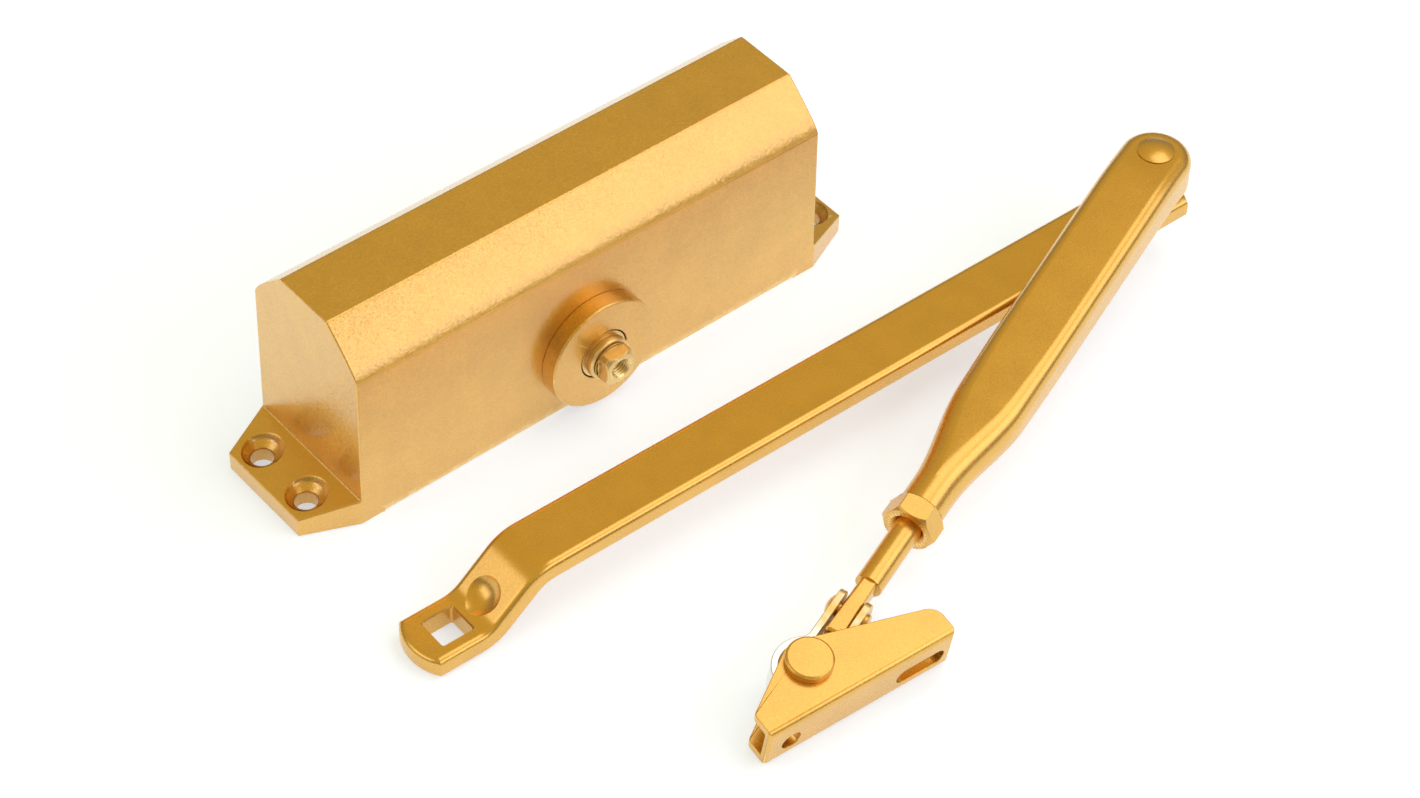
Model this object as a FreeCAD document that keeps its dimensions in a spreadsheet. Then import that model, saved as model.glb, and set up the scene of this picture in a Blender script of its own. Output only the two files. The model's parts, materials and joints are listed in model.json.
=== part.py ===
"""Overhead door closer with its loose two-piece arm, as a parametric document.

Frame: the origin is the centre of the four fixing holes, on the closer's back face.  +X runs along the
closer, +Z points out of the door, and the front spindle end points towards -Y.  Millimetres and degrees.
The arm set lies beside the closer as it comes out of the box: the main arm is flat, the forearm is stacked
on it at the elbow and slopes down to the foot bracket.
"""
import FreeCAD, Part
import math
import os
import re

import Sketcher

# ---------------------------------------------------------------- driving dimensions
SIZES = {
    # closer body
    "body_length": 149.0,
    "body_width": 42.8,
    "wall_height": 48.5,
    "body_height": 60.9,
    "bevel_width": 11.9,
    "end_draft": 1.15,
    "lug_length": 14.9,
    "lug_edge_width": 29.8,
    "lug_root_thickness": 8.2,
    "lug_edge_thickness": 5.8,
    "lug_overlap": 4.0,
    "fixing_offset": 8.5,
    "fixing_pitch": 19.0,
    "fixing_diameter": 6.0,
    "countersink_diameter": 10.8,
    "countersink_drop": 2.4,
    # cylinder and end plug
    "cylinder_diameter": 34.0,
    "cylinder_height": 26.4,
    "closed_wall": 8.0,
    "plug_diameter": 36.0,
    "plug_length": 12.0,
    "plug_recess": 1.4,
    "plug_ring_thickness": 2.4,
    "plug_key_width": 10.0,
    "plug_key_depth": 6.0,
    # spindle and its bearings
    "spindle_shift": -1.2,
    "spindle_height": 18.2,
    "shaft_diameter": 14.0,
    "shoulder_diameter": 12.6,
    "shoulder_length": 3.0,
    "square_width": 8.8,
    "square_corner_diameter": 11.0,
    "square_length": 3.7,
    "spindle_thread_bore": 5.0,
    "spindle_thread_depth": 12.0,
    "cap_diameter": 32.8,
    "cap_proud": 4.9,
    "cap_thread_diameter": 27.0,
    "cap_lip": 0.9,
    "bearing_diameter": 20.0,
    "bearing_length": 6.0,
    "shaft_seal_diameter": 19.0,
    # pinion and rack
    "tooth_module": 1.5,
    "tooth_count": 10.0,
    "tooth_rise": 1.2,
    "tooth_depth": 1.7,
    "tooth_tip_width": 0.8,
    "tooth_root_width": 2.5,
    "tooth_root_overlap": 0.4,
    "rack_gap_count": 8.0,
    "rack_gap_mouth": 3.9,
    "rack_gap_floor": 1.9,
    "rack_gap_overlap": 0.5,
    "opening_angle": 170.0,
    # piston, check valve and spring
    "piston_spring_head": 12.0,
    "piston_oil_head": 14.0,
    "slot_margin": 1.3,
    "check_bore": 3.0,
    "check_ball_diameter": 5.0,
    "check_chamber_clearance": 0.2,
    "check_chamber_length": 7.4,
    "check_ring_length": 1.6,
    "check_drop": 6.0,
    "spring_wire": 4.0,
    "spring_diameter": 31.0,
    "spring_turns": 4.5,
    # speed valves
    "valve_spacing": 16.0,
    "valve_height": 49.0,
    "valve_diameter": 7.0,
    "valve_length": 14.0,
    "valve_recess": 1.6,
    "valve_needle_diameter": 2.4,
    "valve_needle_length": 7.0,
    "valve_ring_thickness": 1.4,
    "valve_ring_drop": 8.0,
    "valve_needle_tip": 1.0,
    "valve_slot_width": 1.2,
    "valve_slot_depth": 1.5,
    "channel_diameter": 2.8,
    "port_diameter": 2.2,
    "port_reach": 42.0,
    # main arm
    "arm_hole_side": 65.3,
    "arm_hole_along": -81.0,
    "arm_turn": -1.05,
    "arm_length": 232.0,
    "arm_width": 17.5,
    "arm_thickness": 6.1,
    "arm_joggle": 12.2,
    "arm_square": 9.0,
    "arm_tip_reach": 11.2,
    "arm_tip_bulge": 3.0,
    "arm_tip_flat": 7.0,
    "arm_bend_start": 7.0,
    "arm_bend_run": 14.5,
    "arm_elbow_reach": 9.0,
    "arm_bend_lift_share": 0.35,
    # elbow
    "rivet_diameter": 6.0,
    "rivet_head_diameter": 10.0,
    "rivet_head_rise": 1.3,
    "rivet_tail_diameter": 9.0,
    "rivet_tail_rise": 1.4,
    "rivet_tail_edge": 0.5,
    "rivet_head_edge": 0.4,
    "rivet_crown_share": 0.6,
    "washer_diameter": 15.0,
    "washer_thickness": 1.3,
    # forearm
    "forearm_turn": 199.87,
    "forearm_drop": 4.75,
    "rod_line_height": 24.87,
    "forearm_width": 19.4,
    "forearm_depth": 13.5,
    "forearm_corner": 3.4,
    "forearm_eye_flat": 11.0,
    "forearm_taper_start": 97.0,
    "forearm_taper_end": 121.0,
    "forearm_waist_depth": 12.6,
    "neck_diameter": 12.0,
    "neck_end": 131.5,
    "rod_bore_start": 66.0,
    "forearm_fold": 16.5,
    # lock nut and adjusting rod
    "nut_width": 13.0,
    "nut_length": 6.5,
    "rod_diameter": 7.2,
    "rod_inner_end": 88.0,
    "rod_step": 157.8,
    "tang_end": 176.0,
    "tang_width": 4.5,
    "tang_height": 5.6,
    # knuckle
    "foot_roll": 8.51,
    "foot_swing": 155.93,
    "foot_pin_distance": 188.9,
    "cross_rivet_distance": 167.7,
    "cross_rivet_diameter": 4.0,
    "cross_head_diameter": 6.4,
    "cross_head_rise": 1.6,
    "cross_tail_diameter": 5.4,
    "cross_tail_rise": 0.9,
    "cross_edge": 0.35,
    "cross_crown_share": 0.65,
    "strap_thickness": 1.8,
    "strap_height": 9.0,
    "strap_gap": 5.2,
    "strap_leg_end": 163.6,
    "bush_diameter": 14.0,
    # foot bracket
    "pin_diameter": 8.0,
    "pin_head_diameter": 12.0,
    "pin_head_rise": 2.3,
    "pin_tail_diameter": 10.0,
    "pin_tail_rise": 0.6,
    "bracket_height": 14.0,
    "bracket_sheet": 2.25,
    "bracket_web_reach": 11.88,
    "bracket_left": 19.6,
    "bracket_right": 35.7,
    "bracket_left_shoulder": 4.9,
    "bracket_right_shoulder": 3.5,
    "bracket_eye_radius": 6.5,
    "bracket_corner": 1.6,
    "slot_width": 5.2,
    "slot_inner": 18.9,
    "slot_outer": 33.2,
    "bracket_hole_place": -12.5,
    "bracket_hole_diameter": 5.4,
    "bracket_hole_drop": -1.2,
    # clearances shared by every fit
    "running": 0.05,
    "sliding": 0.05,
    "axial": 0.1,
    "loose": 0.3,
    # how far a cutting outline or a joining block runs past the surface that it works on
    "overcut": 1.0,
}

document = FreeCAD.newDocument("door_closer")
sheet = document.addObject("Spreadsheet::Sheet", "Sizes")
for row, (alias, number) in enumerate(SIZES.items(), start=1):
    sheet.set(f"A{row}", alias)
    sheet.set(f"B{row}", str(number))
    sheet.setAlias(f"B{row}", alias)
document.recompute()

NODES = []
X_AXIS = FreeCAD.Vector(1, 0, 0)
Y_AXIS = FreeCAD.Vector(0, 1, 0)
Z_AXIS = FreeCAD.Vector(0, 0, 1)


# ---------------------------------------------------------------- helpers
def size(alias):
    """A driving dimension as a number."""
    return float(sheet.get(alias))


def formula(text):
    """The text with each driving dimension's name turned into a reference to its cell."""
    return re.sub(r"[a-z][a-z_]+", lambda word: f"Sizes.{word[0]}" if word[0] in SIZES else word[0], text)


def bind(item, **properties):
    """Bind properties of an object to formulas of the driving dimensions."""
    for name, text in properties.items():
        item.setExpression(name, formula(text))
    return item


def node(item, name, placement=None):
    """Name a finished sub-part and put it in its place."""
    item.Label = name
    if placement is not None:
        item.Placement = placement
    NODES.append(item)
    return item


def new_body(name):
    return document.addObject("PartDesign::Body", f"{name}_body")


def origin_feature(body, role):
    return next(part for part in body.Origin.OriginFeatures if part.Role == role)


def new_sketch(body, role, name, offset=None):
    """An empty sketch on one of the body's own origin planes, moved off it by a formula."""
    sketch = body.newObject("Sketcher::SketchObject", name)
    sketch.AttachmentSupport = [(origin_feature(body, role), "")]
    sketch.MapMode = "FlatFace"
    if offset is not None:
        sketch.setExpression("AttachmentOffset.Base.z", formula(offset))
    return sketch


def fix_point(sketch, geometry, point, place):
    """Hold a point of the sketch at a place given by two formulas."""
    for kind, text in zip(("DistanceX", "DistanceY"), place):
        index = sketch.addConstraint(Sketcher.Constraint(kind, -1, 1, geometry, point, 1.0))
        sketch.setExpression(f"Constraints[{index}]", formula(text))


def add_loop(sketch, corners):
    """Add a closed straight-sided loop, each corner a pair of formulas."""
    count = len(corners)
    first = sketch.GeometryCount
    ring = [FreeCAD.Vector(math.cos(2 * math.pi * step / count), math.sin(2 * math.pi * step / count), 0)
            for step in range(count)]
    sides = [Part.LineSegment(ring[step], ring[(step + 1) % count]) for step in range(count)]
    sketch.addGeometry(sides, False)
    for step in range(count):
        following = first + (step + 1) % count
        sketch.addConstraint(Sketcher.Constraint("Coincident", first + step, 2, following, 1))
    for step, place in enumerate(corners):
        fix_point(sketch, first + step, 1, place)


def add_circle(sketch, across, up, diameter):
    """Add a circle whose centre and diameter are formulas."""
    index = sketch.addGeometry(Part.Circle(FreeCAD.Vector(0, 0, 0), Z_AXIS, 1.0), False)
    fix_point(sketch, index, 3, (across, up))
    constraint = sketch.addConstraint(Sketcher.Constraint("Diameter", index, 2.0))
    sketch.setExpression(f"Constraints[{constraint}]", formula(diameter))


def loops(body, role, name, *outlines, offset=None):
    sketch = new_sketch(body, role, name, offset)
    for corners in outlines:
        add_loop(sketch, corners)
    return sketch


def circles(body, role, name, *rounds, offset=None):
    sketch = new_sketch(body, role, name, offset)
    for across, up, diameter in rounds:
        add_circle(sketch, across, up, diameter)
    return sketch


def rectangle(left, right, low, high):
    return [(left, low), (right, low), (right, high), (left, high)]


def extrude(body, sketch, kind, length, both=False, reverse=False):
    """Pad or pocket a sketch by a formula."""
    feature = body.newObject(f"PartDesign::{kind}", f"{sketch.Name}_{kind.lower()}")
    feature.Profile = sketch
    feature.Midplane = both
    feature.Reversed = reverse
    bind(feature, Length=length)
    document.recompute()
    return feature


def turn_outline(body, name, outline):
    """Add a full turning of a half outline about the body's Z axis."""
    sketch = loops(body, "XZ_Plane", f"{name}_outline", outline)
    feature = body.newObject("PartDesign::Revolution", f"{name}_turning")
    feature.Profile = sketch
    feature.ReferenceAxis = (sketch, ["V_Axis"])
    feature.Angle = 360
    document.recompute()


def turned(name, outline):
    """A body of revolution from a half outline, its radii along X and its heights along Z."""
    body = new_body(name)
    turn_outline(body, name, outline)
    return body


def repeat(body, kind, feature, sketch, count, extent, text, axis="N_Axis"):
    """Repeat a feature in a pattern, about or along one of its sketch's axes."""
    pattern = body.newObject(f"PartDesign::{kind}", f"{feature.Name}_pattern")
    pattern.Originals = [feature]
    setattr(pattern, "Axis" if kind == "PolarPattern" else "Direction", (sketch, [axis]))
    bind(pattern, Occurrences=count, **{extent: text})
    body.Tip = pattern
    document.recompute()


def ring_profile(inner, outer, low, high):
    return [(inner, low), (outer, low), (outer, high), (inner, high)]


def primitive(kind, name, placement=None, **sizes):
    item = document.addObject(f"Part::{kind}", name)
    bind(item, **sizes)
    if placement is not None:
        item.Placement = placement
    return item


def combine(kind, name, base, tools):
    """Fuse tools to a base, cut them from it or keep what they share."""
    if kind == "MultiFuse":
        item = document.addObject("Part::MultiFuse", name)
        item.Shapes = [base] + tools
        document.recompute()
        return item
    tool = tools[0]
    if len(tools) > 1:
        tool = combine("MultiFuse", f"{name}_tools", tools[0], tools[1:])
    item = document.addObject(f"Part::{kind}", name)
    item.Base = base
    item.Tool = tool
    document.recompute()
    return item


def place(across, along, up, turn=0.0, axis=Z_AXIS):
    return FreeCAD.Placement(FreeCAD.Vector(across, along, up), FreeCAD.Rotation(axis, turn))


# ---------------------------------------------------------------- shared places and fits
HALF = "body_width / 2"
PISTON = "(cylinder_diameter - 2 * sliding)"
CAP_INNER = "(cylinder_diameter / 2 + axial)"
PITCH_RADIUS = "(tooth_module * tooth_count / 2)"
TIP_RADIUS = f"({PITCH_RADIUS} + tooth_rise)"
PITCH = "(tooth_module * 3.14159265)"
SLOT_LEFT = f"(spindle_shift - {TIP_RADIUS} - slot_margin)"
STROKE = f"({PITCH_RADIUS} * opening_angle * 3.14159265 / 180)"
SLOT_RIGHT = f"(spindle_shift + {TIP_RADIUS} + slot_margin + {STROKE})"
PISTON_LEFT = f"({SLOT_LEFT} - piston_spring_head)"
PISTON_RIGHT = f"({SLOT_RIGHT} + piston_oil_head)"
CYLINDER_LEFT = "(-body_length / 2 + closed_wall)"
PLUG_INNER = "(body_length / 2 - plug_length - plug_recess)"
VALVE_MOUTH = "(body_length / 2 - valve_recess)"
ARM_TOP = "(arm_joggle + arm_thickness)"
FOREARM_FLOOR = f"({ARM_TOP} + washer_thickness + axial)"

spindle_centre = FreeCAD.Vector(size("spindle_shift"), 0, size("spindle_height"))

# the arm set: each piece's frame follows the one before it
arm_place = place(size("arm_hole_along"), -size("arm_hole_side"), 0, size("arm_turn"))
elbow = arm_place.multVec(FreeCAD.Vector(size("arm_length"), 0, 0))
forearm_place = place(elbow.x, elbow.y, 0, size("forearm_turn"))
forearm_turn = FreeCAD.Rotation(Z_AXIS, size("forearm_turn"))
lying = forearm_turn.multiply(FreeCAD.Rotation(Y_AXIS, size("forearm_drop")))
rod_start = FreeCAD.Vector(elbow.x, elbow.y, size("rod_line_height"))
rod_turn = lying.multiply(FreeCAD.Rotation(X_AXIS, -size("foot_roll")))
rod_place = FreeCAD.Placement(rod_start, rod_turn)
foot_pin_centre = rod_place.multVec(FreeCAD.Vector(size("foot_pin_distance"), 0, 0))
strap_place = FreeCAD.Placement(foot_pin_centre, rod_turn)
bracket_turn = rod_turn.multiply(FreeCAD.Rotation(Z_AXIS, size("foot_swing")))
bracket_place = FreeCAD.Placement(foot_pin_centre, bracket_turn)


# ---------------------------------------------------------------- closer body
def make_housing():
    """One casting: a bevelled block with a fixing lug at each end, bored for the mechanism."""
    body = new_body("housing")
    half = "body_length / 2"
    section = [(f"-{HALF}", "0"), (HALF, "0"), (HALF, "wall_height"),
               (f"{HALF} - bevel_width", "body_height"), (f"-{HALF} + bevel_width", "body_height"),
               (f"-{HALF}", "wall_height")]
    extrude(body, loops(body, "YZ_Plane", "block_section", section), "Pad", "body_length", both=True)

    slopes = []
    for side in ("", "-"):
        above = "(body_height + overcut)"
        slopes.append([(f"{side}({half})", "0"), (f"{side}({half} + overcut)", "0"),
                       (f"{side}({half} + overcut)", above),
                       (f"{side}({half} - end_draft * {above} / body_height)", above)])
    sloping = loops(body, "XZ_Plane", "end_slopes", *slopes)
    extrude(body, sloping, "Pocket", "body_width + 2 * overcut", both=True)

    lugs = []
    for side in ("", "-"):
        inner = f"{side}({half} - lug_overlap)"
        outer = f"{side}({half} + lug_length)"
        lugs.append([(inner, "0"), (outer, "0"), (outer, "lug_edge_thickness"),
                     (f"{side}({half})", "lug_root_thickness"), (inner, "lug_root_thickness")])
    extrude(body, loops(body, "XZ_Plane", "lug_profiles", *lugs), "Pad", "body_width", both=True)

    corners = []
    for side in ("", "-"):
        for hand in ("", "-"):
            corners.append([(f"{side}({half})", f"{hand}({HALF})"),
                            (f"{side}({half} + lug_length)", f"{hand}(lug_edge_width / 2)"),
                            (f"{side}({half} + lug_length + overcut)", f"{hand}({HALF} + overcut)")])
    cropped = loops(body, "XY_Plane", "lug_corners", *corners)
    extrude(body, cropped, "Pocket", "lug_root_thickness + overcut", reverse=True)

    fixings = [(f"{side}({half} + fixing_offset)", f"{hand}(fixing_pitch / 2)", "fixing_diameter")
               for side in ("", "-") for hand in ("", "-")]
    drilled = circles(body, "XY_Plane", "fixing_holes", *fixings)
    extrude(body, drilled, "Pocket", "lug_root_thickness + overcut", reverse=True)

    def bored(name, role, offset, across, up, diameter, length, reverse=False):
        sketch = circles(body, role, name, (across, up, diameter), offset=offset)
        extrude(body, sketch, "Pocket", length, reverse=reverse)

    bored("cylinder_bore", "YZ_Plane", CYLINDER_LEFT, "0", "cylinder_height", "cylinder_diameter",
          "body_length", reverse=True)
    bored("plug_bore", "YZ_Plane", PLUG_INNER, "0", "cylinder_height", "plug_diameter",
          "body_length", reverse=True)
    cross = circles(body, "XZ_Plane", "pinion_bore",
                    ("spindle_shift", "spindle_height", f"2 * ({TIP_RADIUS} + 3 * loose)"))
    extrude(body, cross, "Pocket", "body_width + 2 * overcut", both=True)
    bored("front_cap_bore", "XZ_Plane", CAP_INNER, "spindle_shift", "spindle_height", "cap_thread_diameter",
          "body_width", reverse=True)
    bored("rear_cap_bore", "XZ_Plane", f"-{CAP_INNER}", "spindle_shift", "spindle_height",
          "cap_thread_diameter", "body_width")

    for name, hand in (("closing", "-"), ("latching", "")):
        across = f"{hand}valve_spacing / 2"
        bored(f"{name}_valve_bore", "YZ_Plane", f"{VALVE_MOUTH} - valve_length", across, "valve_height",
              "valve_diameter", "body_length", reverse=True)
        bored(f"{name}_channel", "YZ_Plane", "-port_reach - port_diameter", across, "valve_height",
              "channel_diameter", "body_length", reverse=True)
    ports = [(along, f"{hand}valve_spacing / 2", "port_diameter")
             for along in ("port_reach", "-port_reach") for hand in ("-", "")]
    drilled = circles(body, "XY_Plane", "port_holes", *ports, offset="cylinder_height")
    extrude(body, drilled, "Pocket", "valve_height - cylinder_height", reverse=True)
    document.recompute()

    seats = []
    hole_top = "(lug_root_thickness - (lug_root_thickness - lug_edge_thickness) * fixing_offset / lug_length)"
    for side in (1, -1):
        for hand in (1, -1):
            name = f"countersink_{'right' if side > 0 else 'left'}_{'rear' if hand > 0 else 'front'}"
            cone = primitive("Cone", name, Height="countersink_drop + overcut", Radius1="fixing_diameter / 2",
                             Radius2="countersink_diameter / 2 + overcut * (countersink_diameter"
                                     " - fixing_diameter) / 2 / countersink_drop")
            sign = "" if side > 0 else "-"
            cone.setExpression("Placement.Base.x", formula(f"{sign}({half} + fixing_offset)"))
            cone.setExpression("Placement.Base.y", formula(f"{'' if hand > 0 else '-'}fixing_pitch / 2"))
            cone.setExpression("Placement.Base.z", formula(f"{hole_top} - countersink_drop"))
            seats.append(cone)
    node(combine("Cut", "housing_cut", body, seats), "housing")


def make_end_plug():
    """Threaded plug that closes the cylinder, with a ring groove and a hexagon key recess."""
    radius = "plug_diameter / 2"
    groove = "(plug_length / 2 - plug_ring_thickness / 2 - axial)"
    floor = "(plug_diameter / 2 - plug_ring_thickness + running)"
    body = turned("end_plug", [("0", "0"), (radius, "0"), (radius, groove), (floor, groove),
                               (floor, "plug_length / 2 + plug_ring_thickness / 2 + axial"),
                               (radius, "plug_length / 2 + plug_ring_thickness / 2 + axial"),
                               (radius, "plug_length"), ("0", "plug_length")])
    side = "(plug_key_width / 2 / cos(30))"
    key = [(f"{side} * cos({60 * step})", f"{side} * sin({60 * step})") for step in range(6)]
    sketch = loops(body, "XY_Plane", "plug_key", key, offset="plug_length - plug_key_depth")
    extrude(body, sketch, "Pocket", "plug_length", reverse=True)
    inner = size("body_length") / 2 - size("plug_length") - size("plug_recess")
    node(body, "end_plug", place(inner, 0, size("cylinder_height"), 90, Y_AXIS))

    ring = primitive("Torus", "plug_ring", Radius1="plug_diameter / 2 - plug_ring_thickness / 2",
                     Radius2="plug_ring_thickness / 2 - running")
    middle = inner + size("plug_length") / 2
    node(ring, "end_plug_seal", place(middle, 0, size("cylinder_height"), 90, Y_AXIS))


# ---------------------------------------------------------------- spindle and bearings
def make_bearings(name, quarter):
    """A screwed cap with its bearing bush and shaft seal; heights run outwards from the side wall."""
    where = FreeCAD.Placement(spindle_centre, FreeCAD.Rotation(X_AXIS, quarter))
    face = f"({HALF})"
    inner = CAP_INNER
    bush_end = f"({CAP_INNER} + bearing_length)"
    outer = f"({face} + cap_proud)"
    lip = f"({outer} - cap_lip)"
    bush = "bearing_diameter / 2"
    seal = "shaft_seal_diameter / 2"
    thread = "cap_thread_diameter / 2"
    lip_radius = "shaft_diameter / 2 + loose"
    cap = turned(f"{name}_cap", [(bush, inner), (thread, inner), (thread, face), ("cap_diameter / 2", face),
                                 ("cap_diameter / 2", outer), (lip_radius, outer), (lip_radius, lip),
                                 (seal, lip), (seal, bush_end), (bush, bush_end)])
    node(cap, f"{name}_bearing_cap", where)
    bearing = turned(f"{name}_bearing", ring_profile("shaft_diameter / 2 + running", bush, inner, bush_end))
    node(bearing, f"{name}_bearing", where)
    gasket = turned(f"{name}_seal", ring_profile("shaft_diameter / 2 + running", seal, bush_end, lip))
    node(gasket, f"{name}_shaft_seal", where)


def make_spindle():
    """Pinion shaft with a shouldered, squared and threaded end on each side of the closer."""
    body = new_body("spindle")
    root = f"({PITCH_RADIUS} - tooth_depth)"
    face = "(cylinder_diameter / 2)"
    collar = f"({HALF} + cap_proud)"
    square = f"({collar} + shoulder_length)"
    tip = f"({square} + square_length)"
    steps = [(root, face), ("shaft_diameter / 2", face), ("shaft_diameter / 2", collar),
             ("shoulder_diameter / 2", collar), ("shoulder_diameter / 2", square),
             ("square_corner_diameter / 2", square), ("square_corner_diameter / 2", tip)]
    lower = [(radius, f"-{height}") for radius, height in reversed(steps)]
    profile = [("0", f"-{tip}")] + lower + steps + [("0", tip)]
    turn_outline(body, "shaft", profile)

    # one straight-flanked tooth, then the rest round the shaft
    foot = f"({root} - tooth_root_overlap)"
    tooth = [("-tooth_root_width / 2", foot), ("tooth_root_width / 2", foot),
             ("tooth_tip_width / 2", TIP_RADIUS), ("-tooth_tip_width / 2", TIP_RADIUS)]
    sketch = loops(body, "XY_Plane", "tooth_outline", tooth)
    repeat(body, "PolarPattern", extrude(body, sketch, "Pad", "cylinder_diameter", both=True), sketch,
           "tooth_count", "Angle", "360")

    for end, sign in (("front", ""), ("rear", "-")):
        flats = []
        for side in ("", "-"):
            edge = [f"{side}(square_width / 2)", f"{side}(square_corner_diameter)"]
            wide = ["-square_corner_diameter", "square_corner_diameter"]
            flats.append((f"{end}_side_flat{side and '_low'}", rectangle(*edge, *wide)))
            flats.append((f"{end}_top_flat{side and '_low'}", rectangle(*wide, *edge)))
        outward = end == "front"
        for name, corners in flats:
            sketch = loops(body, "XY_Plane", name, corners, offset=f"{sign}{square}")
            extrude(body, sketch, "Pocket", "square_length + overcut", reverse=outward)
        sketch = circles(body, "XY_Plane", f"{end}_thread_hole", ("0", "0", "spindle_thread_bore"),
                         offset=f"{sign}({tip} - spindle_thread_depth)")
        extrude(body, sketch, "Pocket", "spindle_thread_depth + overcut", reverse=outward)
    node(body, "spindle", FreeCAD.Placement(spindle_centre, FreeCAD.Rotation(X_AXIS, 90)))


# ---------------------------------------------------------------- piston, check valve and spring
def make_piston():
    """Cylinder with a cross slot for the pinion, a rack along the slot's roof and a drilled oil head."""
    body = new_body("piston")
    sketch = circles(body, "YZ_Plane", "piston_round", ("0", "cylinder_height", PISTON), offset=PISTON_LEFT)
    extrude(body, sketch, "Pad", f"{PISTON_RIGHT} - {PISTON_LEFT}")
    roof = f"(spindle_height + {PITCH_RADIUS} - tooth_rise)"
    floor = f"(spindle_height - {TIP_RADIUS} - 2 * loose)"
    sketch = loops(body, "XZ_Plane", "pinion_slot", rectangle(SLOT_LEFT, SLOT_RIGHT, floor, roof))
    extrude(body, sketch, "Pocket", "cylinder_diameter", both=True)

    first = f"(spindle_shift - {PITCH})"
    ceiling = f"(spindle_height + {PITCH_RADIUS} + tooth_depth)"
    mouth = f"{roof} - rack_gap_overlap"
    gap = [(f"{first} - rack_gap_mouth / 2", mouth), (f"{first} + rack_gap_mouth / 2", mouth),
           (f"{first} + rack_gap_floor / 2", ceiling), (f"{first} - rack_gap_floor / 2", ceiling)]
    sketch = loops(body, "XZ_Plane", "rack_gap", gap)
    cut = extrude(body, sketch, "Pocket", "cylinder_diameter", both=True)
    repeat(body, "LinearPattern", cut, sketch, "rack_gap_count", "Length",
           f"(rack_gap_count - 1) * {PITCH}", axis="H_Axis")

    drilling = "(cylinder_height - check_drop)"
    sketch = circles(body, "YZ_Plane", "check_passage", ("0", drilling, "check_bore"), offset=SLOT_RIGHT)
    extrude(body, sketch, "Pocket", "piston_oil_head + overcut", reverse=True)
    chamber = "check_ball_diameter + 2 * check_chamber_clearance"
    sketch = circles(body, "YZ_Plane", "check_chamber", ("0", drilling, chamber),
                     offset=f"{PISTON_RIGHT} - check_chamber_length")
    extrude(body, sketch, "Pocket", "check_chamber_length + overcut", reverse=True)
    node(body, "piston", place(0, 0, 0))


def make_check_valve():
    """A free ball behind a pressed-in ring, in the piston's oil head."""
    centre = size("cylinder_height") - size("check_drop")
    ball = primitive("Sphere", "ball", Radius="check_ball_diameter / 2")
    node(ball, "check_ball", place(0, 0, centre))
    ball.setExpression("Placement.Base.x",
                       formula(f"{PISTON_RIGHT} - check_chamber_length + check_ball_diameter / 2 + running"))
    outer = "check_ball_diameter / 2 + check_chamber_clearance"
    ring = turned("check_ring", ring_profile("check_bore / 2", outer, "-check_ring_length", "0"))
    node(ring, "check_ball_retainer", place(0, 0, centre, 90, Y_AXIS))
    ring.setExpression("Placement.Base.x", formula(PISTON_RIGHT))


def make_spring():
    """Round-wire coil spring with ground ends, between the closed end and the piston."""
    helix = document.addObject("Part::Helix", "spring_helix")
    bind(helix, Radius="(spring_diameter - spring_wire) / 2",
         Height=f"{PISTON_LEFT} - {CYLINDER_LEFT} + spring_wire",
         Pitch=f"({PISTON_LEFT} - {CYLINDER_LEFT} + spring_wire) / spring_turns")
    wire = document.addObject("Part::Circle", "spring_wire_section")
    bind(wire, Radius="spring_wire / 2")
    wire.Placement = place(0, 0, 0, 90, X_AXIS)
    wire.setExpression("Placement.Base.x", formula("(spring_diameter - spring_wire) / 2"))
    document.recompute()
    sweep = document.addObject("Part::Sweep", "spring_sweep")
    sweep.Sections = [wire]
    sweep.Spine = helix
    sweep.Solid = True
    sweep.Frenet = True
    sweep.setExpression("Placement.Base.z", formula("-spring_wire / 2"))
    space = primitive("Cylinder", "spring_space", Radius="spring_diameter",
                      Height=f"{PISTON_LEFT} - {CYLINDER_LEFT} - 2 * axial")
    space.setExpression("Placement.Base.z", formula("axial"))
    document.recompute()
    spring = combine("Common", "spring_ground", sweep, [space])
    node(spring, "closing_spring", place(0, 0, size("cylinder_height"), 90, Y_AXIS))
    spring.setExpression("Placement.Base.x", formula(CYLINDER_LEFT))


# ---------------------------------------------------------------- speed valves
def make_valve(name, hand):
    """Slotted needle screw with a sealing ring, in the end face; heights run outwards."""
    outer = "(valve_diameter / 2 - running)"
    middle = "(valve_length - valve_ring_drop)"
    groove = "(valve_ring_thickness / 2 + axial)"
    floor = f"({outer} - valve_ring_thickness)"
    needle = "valve_needle_diameter / 2"
    point = "(valve_needle_tip - valve_needle_length)"
    body = turned(f"{name}_valve", [
        ("0", point), (needle, f"{point} + valve_needle_tip"), (needle, "axial"), (outer, "axial"),
        (outer, f"{middle} - {groove}"), (floor, f"{middle} - {groove}"), (floor, f"{middle} + {groove}"),
        (outer, f"{middle} + {groove}"), (outer, "valve_length"), ("0", "valve_length")])
    slot = rectangle("-valve_diameter", "valve_diameter", "-valve_slot_width / 2", "valve_slot_width / 2")
    sketch = loops(body, "XY_Plane", f"{name}_driver_slot", slot, offset="valve_length - valve_slot_depth")
    extrude(body, sketch, "Pocket", "valve_slot_depth + overcut", reverse=True)
    along = f"{VALVE_MOUTH} - valve_length"
    across = hand * size("valve_spacing") / 2
    node(body, f"{name}_speed_valve", place(0, across, size("valve_height"), 90, Y_AXIS))
    body.setExpression("Placement.Base.x", formula(along))
    ring = primitive("Torus", f"{name}_ring", Radius1=f"{outer} - valve_ring_thickness / 2",
                     Radius2="valve_ring_thickness / 2")
    node(ring, f"{name}_valve_ring", place(0, across, size("valve_height"), 90, Y_AXIS))
    ring.setExpression("Placement.Base.x", formula(f"{along} + {middle}"))


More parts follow.
